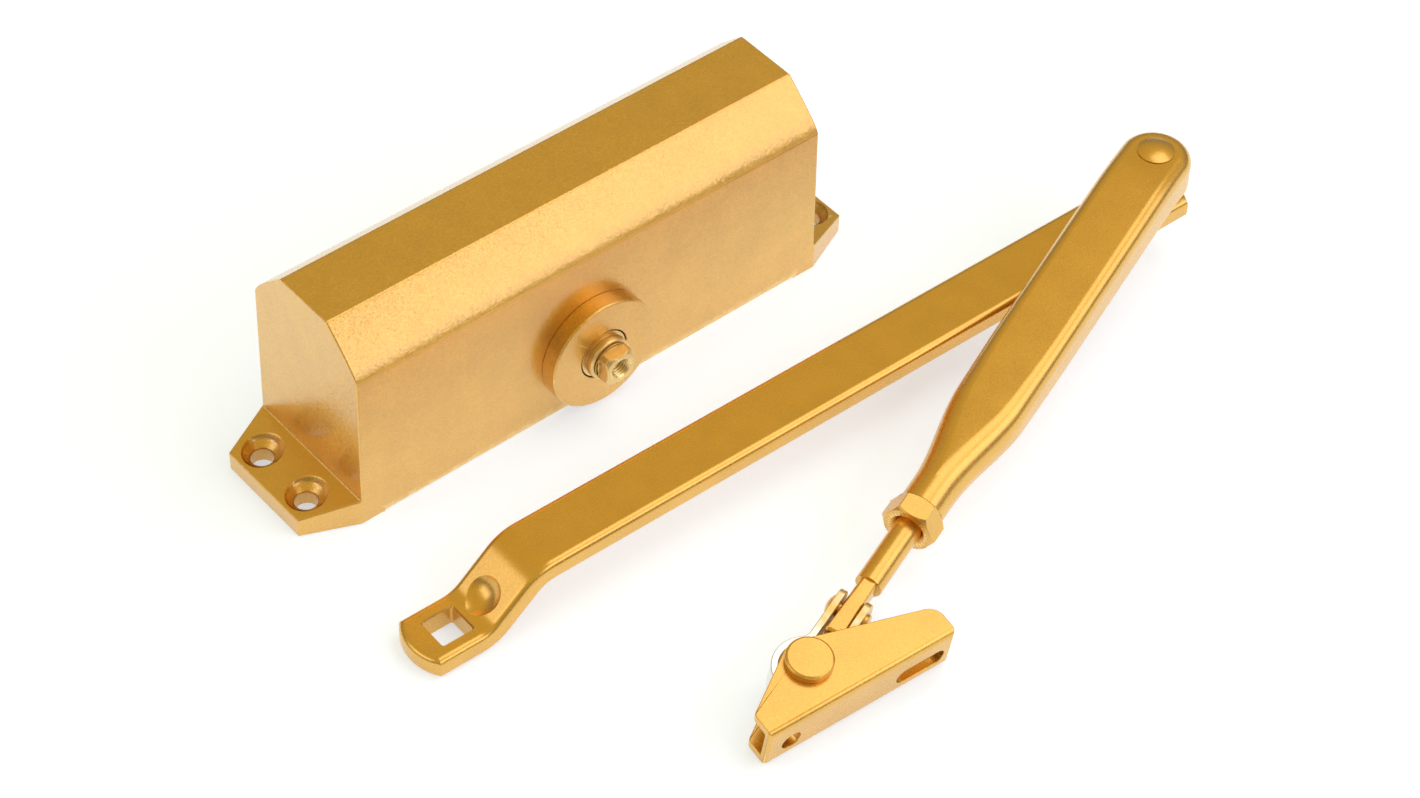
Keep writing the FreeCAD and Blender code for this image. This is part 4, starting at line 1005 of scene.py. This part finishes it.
# ---------------------------------------------------------------- the arm set
@dataclass
class MainArm:
    """The flat bar with a joggle near its square hole, and the rivet and washer at its elbow."""

    places: Places
    finishes: Finishes
    length: float = 232.0
    half_width: float = 8.75
    thickness: float = 6.1
    lift: float = 12.2
    tip_reach: float = 11.2
    tip_bulge: float = 3.0
    elbow_reach: float = 9.0
    bend_low: float = 8.07
    bend_high: float = 22.57
    bend_radius: float = 10.5
    square: float = 9.0
    edge_radius: float = 1.75

    def build(self) -> None:
        """Makes the bar, the rivet and the washer."""
        self.bar()
        self.rivet()
        self.washer()

    def centre_line(self, along: float) -> tuple[float, float]:
        """The joggle's rise and slope.

        Args:
            along: the distance from the square hole.

        Returns:
            How far the bar's middle has risen, and its slope in radians.
        """
        run = self.bend_high - self.bend_low
        slope = math.atan2(self.lift, run)
        tangent = self.bend_radius * math.tan(slope / 2)
        turn_run = self.bend_radius * math.sin(slope)
        start, end = self.bend_low - tangent, self.bend_high + tangent
        if along <= start:
            return 0.0, 0.0
        if along >= end:
            return self.lift, 0.0
        if along < start + turn_run:
            angle = math.asin((along - start) / self.bend_radius)
            return self.bend_radius * (1 - math.cos(angle)), angle
        if along > end - turn_run:
            angle = math.asin((end - along) / self.bend_radius)
            return self.lift - self.bend_radius * (1 - math.cos(angle)), angle
        return math.tan(slope) * (along - self.bend_low), slope

    def bar(self) -> None:
        """A bar with bowed ends, edges rounded all round, then bent, pierced and dimpled."""
        left, right = -self.tip_reach, self.length + self.elbow_reach
        half = self.half_width
        bow = (half * half + self.tip_bulge ** 2) / (2 * self.tip_bulge)
        bar = Workpiece.block("main_arm_bar", (left, -half, 0), (right, half, self.thickness))
        bar.slice((0, 1, 0), [(half - self.edge_radius - 0.1) * step / 7 for step in range(-7, 8)])

        def bow_ends(point: Vector) -> Vector:
            back = bow - math.sqrt(bow * bow - point.y * point.y)
            shift = back if point.x < 0 else -back
            return Vector((point.x + shift, point.y, point.z))

        bar.reshape(bow_ends)
        level = {0.0, self.thickness}
        bar.bevel(self.edge_radius, 6, lambda a, b: abs(a.z - b.z) < 1e-4 and min(
            abs(a.z - value) for value in level) < 1e-4 and (
                (abs(abs(a.y) - half) < 1e-3 and abs(abs(b.y) - half) < 1e-3)
                or (a - b).length < 3 and (a.x < left + 4 or a.x > right - 4)))
        bar.slice((1, 0, 0), [1.0 + 0.6 * step for step in range(50)])

        def bend(point: Vector) -> Vector:
            rise, slope = self.centre_line(point.x)
            middle = self.thickness / 2
            reach = point.z - middle
            return Vector((point.x - reach * math.sin(slope), point.y,
                           middle + rise + reach * math.cos(slope)))

        bar.reshape(bend)
        side, corner = self.square / 2, 0.7
        hole = [(-side, -side, corner), (side, -side, corner), (side, side, corner), (-side, side, corner)]
        punch = Workpiece.prism("square_punch", rounded(hole, 15), -OVERCUT, self.thickness + OVERCUT)
        lead = Workpiece.prism("square_lead", rounded(hole, 15), self.thickness - 0.5, self.thickness + 0.4)
        lead.reshape(lambda point: Vector((point.x * (1.13 if point.z > self.thickness else 1.0),
                                           point.y * (1.13 if point.z > self.thickness else 1.0), point.z)))
        drill = Workpiece.lathe("elbow_drill", [(0, 5), (3.05, 5), (3.05, 25), (0, 25)], 48)
        drill.moved(Matrix.Translation((self.length, 0, 0)))
        bar.carve(punch, lead, self.dimple_tool(), drill)
        bar.finish(self.places.main_arm, "main_arm", "main_arm", "arm_gold_paint", self.finishes,
                   smooth=28)

    @staticmethod
    def dimple_tool() -> Workpiece:
        """The round-nosed punch that marks the bar where the joggle begins."""
        radius, along, height = 8.0, 6.9, 14.3
        ball = [(radius * math.cos(math.radians(angle)), radius * math.sin(math.radians(angle)))
                for angle in range(-90, 91, 5)]
        return Workpiece.lathe("dimple_punch", ball, 72).moved(Matrix.Translation((along, 0, height)))

    def rivet(self) -> None:
        """The elbow rivet, with a low domed head above and an upset tail below."""
        head, rise, top, tail_top = 5.0, 1.3, 33.2, 12.1
        crown = (head * head + (rise - 0.25) ** 2) / (2 * (rise - 0.25))
        profile = [(0, tail_top - 1.4), (3.9, tail_top - 1.4)] + arc((3.9, tail_top - 0.8), 0.6, -60, 0, 3)
        profile += [(4.5, tail_top), (3.0, tail_top), (3.0, top + 0.02), (head - 0.1, top + 0.02),
                    (head, top + 0.25)]
        sweep = math.degrees(math.asin(head / crown))
        centre = top + rise - crown
        profile += arc((0, centre), crown, 90 - sweep * 0.97, 90, 10)
        Workpiece.lathe("elbow_rivet_turned", profile, 96).finish(
            self.places.elbow, "forearm", "elbow_rivet", "arm_gold_paint", self.finishes)

    def washer(self) -> None:
        """The washer between the two arms."""
        low, high, inner, outer = 18.4, 19.7, 3.0, 7.5
        profile = [(inner, low), (outer - 0.25, low), (outer, low + 0.25), (outer, high - 0.25),
                   (outer - 0.25, high), (inner, high), (inner, low)]
        Workpiece.lathe("elbow_washer_turned", profile, 64).finish(
            self.places.elbow, "forearm", "elbow_washer", "arm_gold_paint", self.finishes)


@dataclass
class Forearm:
    """The tapering forged forearm with its lock nut and adjusting rod."""

    places: Places
    finishes: Finishes
    half_width: float = 9.7
    eye_top: float = 33.2
    eye_floor: float = 19.7
    eye_flat: float = 11.0
    corner: float = 3.6
    drop: float = 4.75
    line_height: float = 24.87
    waist_start: float = 97.0
    waist_end: float = 121.0
    waist_half: float = 6.3
    neck_radius: float = 6.0
    neck_end: float = 131.5
    rod_radius: float = 3.6
    rod_step: float = 157.8
    tang_end: float = 176.0
    cross_along: float = 167.7

    def build(self) -> None:
        """Makes the beam, the nut and the rod."""
        self.beam()
        self.lock_nut()
        self.adjusting_rod()

    def section_at(self, along: float) -> tuple[float, float, float, float, float]:
        """The beam's section at a distance from the elbow.

        Args:
            along: the distance.

        Returns:
            Its half width, middle height, half depth, corner radius and forward lean.
        """
        fall = math.tan(math.radians(self.drop))
        to_neck = smooth_step(along, self.waist_start - 4, self.waist_end + 3)
        waist_middle = self.line_height - self.waist_start * fall
        ease = 5.0
        run = self.waist_start - self.eye_flat
        past = max(0.0, along - self.eye_flat + ease)
        travelled = past * past / (4 * ease) if past < 2 * ease else past - ease
        share = min(1.0, travelled / run)
        top = self.eye_top + (waist_middle + self.waist_half - self.eye_top) * share
        floor = self.eye_floor + (waist_middle - self.waist_half - self.eye_floor) * share
        middle, half_depth = (top + floor) / 2, (top - floor) / 2
        if along > self.waist_start:
            middle = self.line_height - along * fall
        half_width = self.half_width + (self.neck_radius - self.half_width) * to_neck
        half_depth += (self.neck_radius - half_depth) * to_neck
        corner = self.corner + (self.neck_radius - self.corner) * smooth_step(
            along, self.waist_start - 30, self.waist_end)
        return half_width, middle, half_depth, min(corner, half_width, half_depth), fall * to_neck

    def beam(self) -> None:
        """The beam: a grid wrapped from the round eye down to the neck, then relieved and bored."""
        eye_steps, corner_steps = 16, 8
        stations = [90 * (1 - step / eye_steps) for step in range(eye_steps)]
        lengths = [0.0, 2.5, 5.0] + [7.0 + 1.5 * step for step in range(10)]
        lengths += [24.0 + 6.0 * step for step in range(11)] + [88.0 + 1.5 * step for step in range(25)]
        lengths += [127.0, self.neck_end * math.cos(math.radians(self.drop))]
        ring: list[tuple[int, float]] = []
        for side, order in ((1, 1), (-1, -1)):
            angles = [-90 + 90 * step / corner_steps for step in range(corner_steps + 1)]
            angles += [90 * step / corner_steps for step in range(corner_steps + 1)]
            ring += [(side, angle) for angle in angles[::order]]

        def place(column: int, row: int) -> Vector:
            side, angle = ring[row % len(ring)]
            level = math.radians(angle)
            upper = (row % len(ring)) % (2 * (corner_steps + 1)) > corner_steps
            if side < 0:
                upper = not upper
            vertical = 1 if upper else -1
            if column < eye_steps:
                half, middle, depth, corner, _ = self.section_at(0.0)
                reach = half - corner * (1 - math.cos(level))
                height = middle + vertical * (depth - corner) + corner * math.sin(level)
                around = math.radians(stations[column])
                return Vector((-reach * math.sin(around), side * reach * math.cos(around), height))
            along = lengths[column - eye_steps]
            half, middle, depth, corner, lean = self.section_at(along)
            reach = half - corner * (1 - math.cos(level))
            rise = vertical * (depth - corner) + corner * math.sin(level)
            return Vector((along + rise * lean, side * reach, middle + rise))

        columns = eye_steps + len(lengths) - 1
        beam = Workpiece.wrapped("forearm_beam", columns, len(ring), place)
        end = lengths[-1] - 2
        with beam.picked(Pick.EDGES, lambda a, b: a.x > end and b.x > end and abs(
                (a.x - b.x) - (a.z - b.z) * math.tan(math.radians(self.drop))) < 0.02):
            bpy.ops.mesh.edge_face_add()
        beam.face_outwards()
        fold = Matrix.Rotation(math.radians(-16.5), 4, "Z")
        side = 9.05
        relief = Workpiece.block("arm_relief", (-20, side - 55, 0), (215, side, self.eye_floor)).moved(fold)
        lean = Matrix.Translation((0, 0, self.line_height)) @ Matrix.Rotation(math.radians(self.drop), 4, "Y")
        loose = self.rod_radius + 0.05
        bore = Workpiece.lathe("rod_bore", [(0, 66), (loose, 66), (loose, 130.5), (4.3, 131.6), (4.3, 135),
                                            (0, 135)], 48, Axis.X).moved(lean)
        drill = Workpiece.lathe("rivet_drill", [(0, 10), (3.0, 10), (3.0, 40), (0, 40)], 48)
        beam.carve(relief, bore, drill)
        beam.finish(self.places.forearm, "forearm", "forearm", "arm_gold_paint", self.finishes)

    def lock_nut(self) -> None:
        """A hexagon nut, chamfered at both ends, with a countersunk bore."""
        low, high, flats = self.neck_end, self.neck_end + 6.5, 6.5
        corner = flats / math.cos(math.radians(30))
        hexagon = [(corner * math.cos(math.radians(60 * step)), corner * math.sin(math.radians(60 * step)))
                   for step in range(6)]
        nut = Workpiece.prism("lock_nut_hexagon", hexagon, low, high, Axis.X)
        bevelled = [(0, low), (flats - 0.1, low), (corner + 0.15, low + 1.0), (corner + 0.15, high - 1.0),
                    (flats - 0.1, high), (0, high)]
        form = Workpiece.lathe("nut_form", bevelled, 96, Axis.X)
        nut.carve(form, operation="INTERSECT")
        sunk = [(0, low - 1), (4.6, low - 1), (4.6, low), (3.66, low + 0.9), (3.66, high - 1.1), (4.75, high),
                (4.75, high + 1), (0, high + 1)]
        bore = Workpiece.lathe("nut_bore", sunk, 64, Axis.X)
        nut.carve(bore)
        nut.soften(0.2, 3, 20)
        nut.finish(self.places.rod, "lock_nut", "lock_nut", "arm_gold_paint", self.finishes)

    def adjusting_rod(self) -> None:
        """The round rod, threaded where the forearm hides it, milled down to a rounded tang."""
        radius, step = self.rod_radius, self.rod_step
        profile: Outline = [(0, 88.0), (radius - 0.6, 88.0), (radius - 0.1, 88.6)]
        height = 89.0
        while height < 128:
            profile += [(radius, height), (radius - 0.45, height + 0.5)]
            height += 1.0
        profile += [(radius, height), (radius, self.tang_end), (0, self.tang_end)]
        rod = Workpiece.lathe("adjusting_rod_turned", profile, 64, Axis.X)
        reach = self.tang_end + OVERCUT
        for side in (1, -1):
            edge = sorted((side * 2.25, side * 6.0))
            rod.carve(Workpiece.block("tang_side", (step, edge[0], -6), (reach, edge[1], 6)),
                      Workpiece.block("tang_face", (step, -6, min(side * 2.8, side * 6)),
                                      (reach, 6, max(side * 2.8, side * 6))))
        tang = self.tang_end
        rod.bevel(1.4, 4, lambda a, b: abs(a.x - b.x) < 0.01 and a.x > tang - 0.1 and abs(a.z - b.z) < 0.01
                  and abs(abs(a.z) - 2.8) < 0.05)
        rod.bevel(1.1, 5, lambda a, b: min(a.x, b.x) > step - 0.01 and abs(a.x - b.x) > 5
                  and abs(abs(a.y) - 2.25) < 0.02)
        hole = Workpiece.lathe("tang_drill", [(0, -5), (2.05, -5), (2.05, 5), (0, 5)], 40, Axis.Y)
        rod.carve(hole.moved(Matrix.Translation((self.cross_along, 0, 0))))
        rod.soften(0.18, 2, 50)
        rod.finish(self.places.rod, "rod", "adjusting_rod", "arm_gold_paint", self.finishes,
                   smooth=38)


@dataclass
class Foot:
    """The strap knuckle at the rod's end and the channel bracket that screws to the door frame."""

    places: Places
    finishes: Finishes
    strap_half: float = 4.5
    strap_inner: float = 7.0
    strap_sheet: float = 1.8
    leg_inner: float = 2.6
    leg_end: float = 25.3
    cross_along: float = 21.2
    left: float = 19.6
    right: float = 35.7
    web: float = 11.88
    sheet: float = 2.25
    half_height: float = 7.0
    left_shoulder: float = 4.9
    right_shoulder: float = 3.5
    eye_radius: float = 6.5
    slot_low: float = 18.9
    slot_high: float = 33.2
    slot_half: float = 2.6
    hole_along: float = -12.5
    hole_radius: float = 2.7
    level: float = -1.2

    def build(self) -> None:
        """Makes the knuckle's pieces, the bracket and the pin."""
        self.strap()
        self.cross_rivet()
        self.bush()
        self.bracket()
        self.pin()

    def strap(self) -> None:
        """A strip bent round the bush like a keyhole, its two legs flanking the tang."""
        sheet, inner = self.strap_sheet, self.strap_inner
        outer, leg, blend = inner + sheet, self.leg_inner + sheet, 3.0
        reach = math.sqrt((outer + blend) ** 2 - (leg + blend) ** 2)
        touch = math.degrees(math.atan2(leg + blend, -reach))
        turn = math.degrees(math.atan2(leg + blend, reach))
        upper = [(-self.leg_end, leg)] + arc((-reach, leg + blend), blend, -90, -turn, 5)
        ring = arc((0, 0), outer, touch, -touch, 48)[1:-1]
        outside = upper + ring + [(across, -up) for across, up in reversed(upper)]
        meet = math.degrees(math.atan2(self.leg_inner, -math.sqrt(inner ** 2 - self.leg_inner ** 2)))
        inside = [(-self.leg_end, -self.leg_inner)] + arc((0, 0), inner, -meet, meet, 48)
        inside += [(-self.leg_end, self.leg_inner)]
        strap = Workpiece.prism("knuckle_strap_bent", outside + inside, -self.strap_half, self.strap_half)
        end = self.leg_end
        strap.bevel(2.6, 6, lambda a, b: a.x < 0.1 - end and b.x < 0.1 - end and abs(a.z - b.z) < 0.01
                    and abs(a.y - b.y) > 1)
        hole = Workpiece.lathe("strap_drill", [(0, -9), (2.0, -9), (2.0, 9), (0, 9)], 40, Axis.Y)
        strap.carve(hole.moved(Matrix.Translation((-self.cross_along, 0, 0))))
        strap.soften(0.25, 3, 40)
        strap.finish(self.places.strap, "knuckle", "knuckle_strap", "strap_zinc", self.finishes)

    def cross_rivet(self) -> None:
        """The small rivet through the strap's legs and the tang."""
        side, head, rise = self.leg_inner + self.strap_sheet, 3.2, 1.6
        crown = (head * head + (rise - 0.3) ** 2) / (2 * (rise - 0.3))
        sweep = math.degrees(math.asin(head / crown))
        profile = [(0, -side - 0.9), (2.2, -side - 0.9)] + arc((2.2, -side - 0.4), 0.5, -60, 0, 3)
        profile += [(2.7, -side), (2.0, -side), (2.0, side), (head, side), (head, side + 0.3)]
        profile += arc((0, side + rise - crown), crown, 90 - sweep * 0.97, 90, 8)
        Workpiece.lathe("knuckle_rivet_turned", profile, 64).finish(
            self.places.cross_rivet, "knuckle", "knuckle_rivet", "arm_gold_paint",
            self.finishes)

    def bush(self) -> None:
        """The bronze bush that the strap wraps."""
        half, inner, outer = self.strap_half, 4.05, self.strap_inner
        profile = [(inner, -half), (outer - 0.3, -half), (outer, 0.3 - half), (outer, half - 0.3),
                   (outer - 0.3, half), (inner, half), (inner, -half)]
        Workpiece.lathe("pin_bush_turned", profile, 64).finish(
            self.places.strap, "knuckle", "pin_bush", "bearing_bronze", self.finishes)

    def cheek(self) -> Outline:
        """The bracket's cheek: a long web edge, two shoulders and a round eye for the pin."""
        def touch(corner: Vector, hand: int) -> Vector:
            distance = corner.length
            angle = math.atan2(corner.y, corner.x) + hand * math.acos(self.eye_radius / distance)
            return Vector((math.cos(angle), math.sin(angle))) * self.eye_radius

        right, left = Vector((self.right, -self.right_shoulder)), Vector((-self.left, -self.left_shoulder))
        right_touch, left_touch = touch(right, 1), touch(left, -1)
        first, second = right_touch - right, left_touch - left
        share = (left - right).cross(second) / first.cross(second)
        apex = right + first * share
        return rounded([(-self.left, -self.web, 1.2), (self.right, -self.web, 1.6),
                        (right.x, right.y, 4.2), (apex.x, apex.y, self.eye_radius), (left.x, left.y, 1.8)])

    def bracket(self) -> None:
        """A channel folded from sheet: two cheeks on a web that has a slot and a round hole."""
        half, web = self.half_height, self.web
        inside, floor, open_side = half - self.sheet, self.sheet - web, 20.0
        inner_fold, outer_fold = 0.6, 1.9
        fold = rounded([(open_side, -half, 0), (open_side, -inside, 0), (floor, -inside, inner_fold),
                        (floor, inside, inner_fold), (open_side, inside, 0), (open_side, half, 0),
                        (-web, half, outer_fold), (-web, -half, outer_fold)], 15)
        body = Workpiece.prism("foot_bracket_folded", fold, -self.left - OVERCUT, self.right + OVERCUT,
                               Axis.X)
        cheek = Workpiece.prism("cheek", self.cheek(), -half - OVERCUT, half + OVERCUT)
        body.carve(cheek, operation="INTERSECT")
        pin_hole = Workpiece.lathe("pin_drill", [(0, -9), (4.0, -9), (4.0, 9), (0, 9)], 64)
        low, high, slot = self.slot_low, self.slot_high, self.slot_half
        outline = rounded([(low, self.level - slot, slot * 0.995), (high, self.level - slot, slot * 0.995),
                           (high, self.level + slot, slot * 0.995), (low, self.level + slot, slot * 0.995)])
        punch = Workpiece.prism("slot_punch", outline, 8.5, 13.5)
        quarter = Matrix.Rotation(math.radians(90), 4, "X")
        drill = Workpiece.lathe("hole_drill", [(0, 8.5), (self.hole_radius, 8.5), (self.hole_radius, 13.5),
                                               (0, 13.5)], 48)
        drill.moved(Matrix.Translation((self.hole_along, self.level, 0)))
        body.carve(pin_hole, punch.moved(quarter), drill.moved(quarter))
        body.soften(0.3, 3, 38)
        body.finish(self.places.bracket, "foot", "foot_bracket", "arm_gold_paint", self.finishes,
                    smooth=30)

    def pin(self) -> None:
        """The pivot pin, with a round-edged flat head above and a riveted tail below."""
        face, head, tail, rise = self.half_height, 6.0, 5.0, 2.3
        profile = [(0, -face - 0.6), (tail - 0.3, -face - 0.6), (tail, -face - 0.3), (tail, -face),
                   (4.0, -face), (4.0, face), (head - 0.15, face), (head, face + 0.15)]
        profile += arc((head - 0.75, face + rise - 0.75), 0.75, 0, 90, 6) + [(0, face + rise)]
        Workpiece.lathe("foot_pin_turned", profile, 96).finish(
            self.places.bracket, "foot", "foot_pin", "arm_gold_paint", self.finishes)


# ---------------------------------------------------------------- nodes that keep their CAD shape
def dress_inner_nodes(finishes: Finishes) -> None:
    """Gives each CAD node inside the closer its own finish."""
    inner = {
        "end_plug_seal": "seal_rubber", "front_shaft_seal": "seal_rubber", "rear_shaft_seal": "seal_rubber",
        "closing_valve_ring": "seal_rubber", "latching_valve_ring": "seal_rubber",
        "front_bearing": "bearing_bronze", "rear_bearing": "bearing_bronze", "piston": "piston_iron",
        "check_ball": "ball_steel", "check_ball_retainer": "ball_steel", "closing_spring": "spring_steel",
    }
    for node, slot in inner.items():
        mesh = frame["nodes"][node].data
        mesh.materials.clear()
        mesh.materials.append(finishes[slot])
        LOG.info("%s keeps its CAD shape in %s", node, slot)


# ---------------------------------------------------------------- the studio
@dataclass
class Studio:
    """A pale table, soft lights and the camera."""

    table_radius: float = 3.0
    lens: float = 91.72

    def build(self) -> None:
        """Sets the whole studio up."""
        self.table()
        self.sky()
        self.softbox("overhead", (0.40, -0.06, 0.90), 1.1, 0.70, 0.66, 1.8)
        self.softbox("front_right", (0.45, -0.71, 0.57), 1.15, 1.3, 0.60, 3.6)
        self.softbox("left", (-1.0, 0.30, 0.55), 1.2, 0.9, 0.5, 1.8)
        self.camera()

    def table(self) -> None:
        """A pale matt table top that glows a little, so that shadows on it stay faint."""
        Workpiece.clear_bench()
        bpy.ops.mesh.primitive_circle_add(vertices=96, radius=self.table_radius, fill_type="NGON")
        table = bpy.context.object
        table.name = "table_top"
        material = bpy.data.materials.new("Pale table")
        material.use_nodes = True
        shader = material.node_tree.nodes["Principled BSDF"]
        wiring = Nodes(material.node_tree)
        place = wiring.add("TexCoord").outputs["Object"]
        cloud = wiring.add("TexNoise", Vector=place, Scale=3.0, Detail=2.0).outputs["Fac"]
        tone = wiring.add("Mix", data_type="RGBA", in_0=cloud, in_6=(0.89, 0.90, 0.93, 1),
                          in_7=(0.92, 0.93, 0.95, 1)).outputs[2]
        material.node_tree.links.new(tone, shader.inputs["Base Color"])
        shader.inputs["Roughness"].default_value = 0.85
        shader.inputs["Emission Color"].default_value = (0.58, 0.76, 1.0, 1)
        shader.inputs["Emission Strength"].default_value = 0.56
        table.data.materials.append(material)

    @staticmethod
    def sky() -> None:
        """A soft room: dim at the horizon and lighter towards the ceiling, pale behind the table."""
        world = bpy.data.worlds.new("Soft room")
        world.use_nodes = True
        bpy.context.scene.world = world
        wiring = Nodes(world.node_tree)
        background = world.node_tree.nodes["Background"]
        direction = wiring.add("TexCoord").outputs["Object"]
        height = wiring.add("SeparateXYZ", in_0=direction).outputs[2]
        room = wiring.add("MapRange", interpolation_type="SMOOTHSTEP", Value=height, From_Min=0.02,
                          From_Max=0.75, To_Min=0.22, To_Max=0.66).outputs[0]
        world.node_tree.links.new(room, background.inputs["Strength"])
        warmth = wiring.add("MapRange", Value=height, From_Min=0.1, From_Max=0.6).outputs[0]
        tint = wiring.add("Mix", data_type="RGBA", in_0=warmth, in_6=(1.0, 0.985, 0.96, 1),
                          in_7=(1.0, 0.83, 0.30, 1)).outputs[2]
        world.node_tree.links.new(tint, background.inputs["Color"])

    @staticmethod
    def softbox(name: str, direction: Sequence[float], distance: float, width: float, height: float,
                power: float) -> None:
        """A rectangular soft light that faces the closer.

        Args:
            name: the light's name.
            direction: where it stands, seen from the closer.
            distance: how far off it stands, in metres.
            width: its width in metres.
            height: its height in metres.
            power: its power in watts.
        """
        light = bpy.data.lights.new(name, "AREA")
        light.shape = "RECTANGLE"
        light.color = (0.92, 0.95, 1.2)
        light.size, light.size_y, light.energy = width, height, power
        lamp = bpy.data.objects.new(name, light)
        bpy.context.scene.collection.objects.link(lamp)
        away = Vector(direction).normalized()
        lamp.location = away * distance + Vector((0.03, -0.05, 0.02))
        lamp.rotation_euler = away.to_track_quat("Z", "Y").to_euler()

    def camera(self) -> None:
        """The camera, looking down on the closer from its front left."""
        data = bpy.data.cameras.new("view")
        data.lens, data.sensor_width = self.lens, 36.0
        data.clip_start, data.clip_end = 0.01, 20.0
        camera = bpy.data.objects.new("view", data)
        bpy.context.scene.collection.objects.link(camera)
        right, up, back = (0.7673, -0.6408, 0.0238), (0.4471, 0.5612, 0.6965), (-0.4597, -0.5238, 0.7172)
        turn = Matrix((right, up, back)).transposed().to_4x4()
        camera.matrix_world = Matrix.Translation((-0.4090, -0.5322, 0.6712)) @ turn
        bpy.context.scene.camera = camera
        bpy.context.scene.view_settings.view_transform = "Standard"
        bpy.context.scene.view_settings.look = "None"


def main() -> None:
    """Builds the closer, the arm set, their finishes and the studio in order."""
    logging.basicConfig(level=logging.INFO, format="%(name)s: %(message)s")
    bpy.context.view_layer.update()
    places = Places.read()
    finishes = Finishes(places)
    for assembly in (Closer, MainArm, Forearm, Foot):
        assembly(places, finishes).build()
    dress_inner_nodes(finishes)
    Studio().build()


if __name__ == "__main__":
    main()
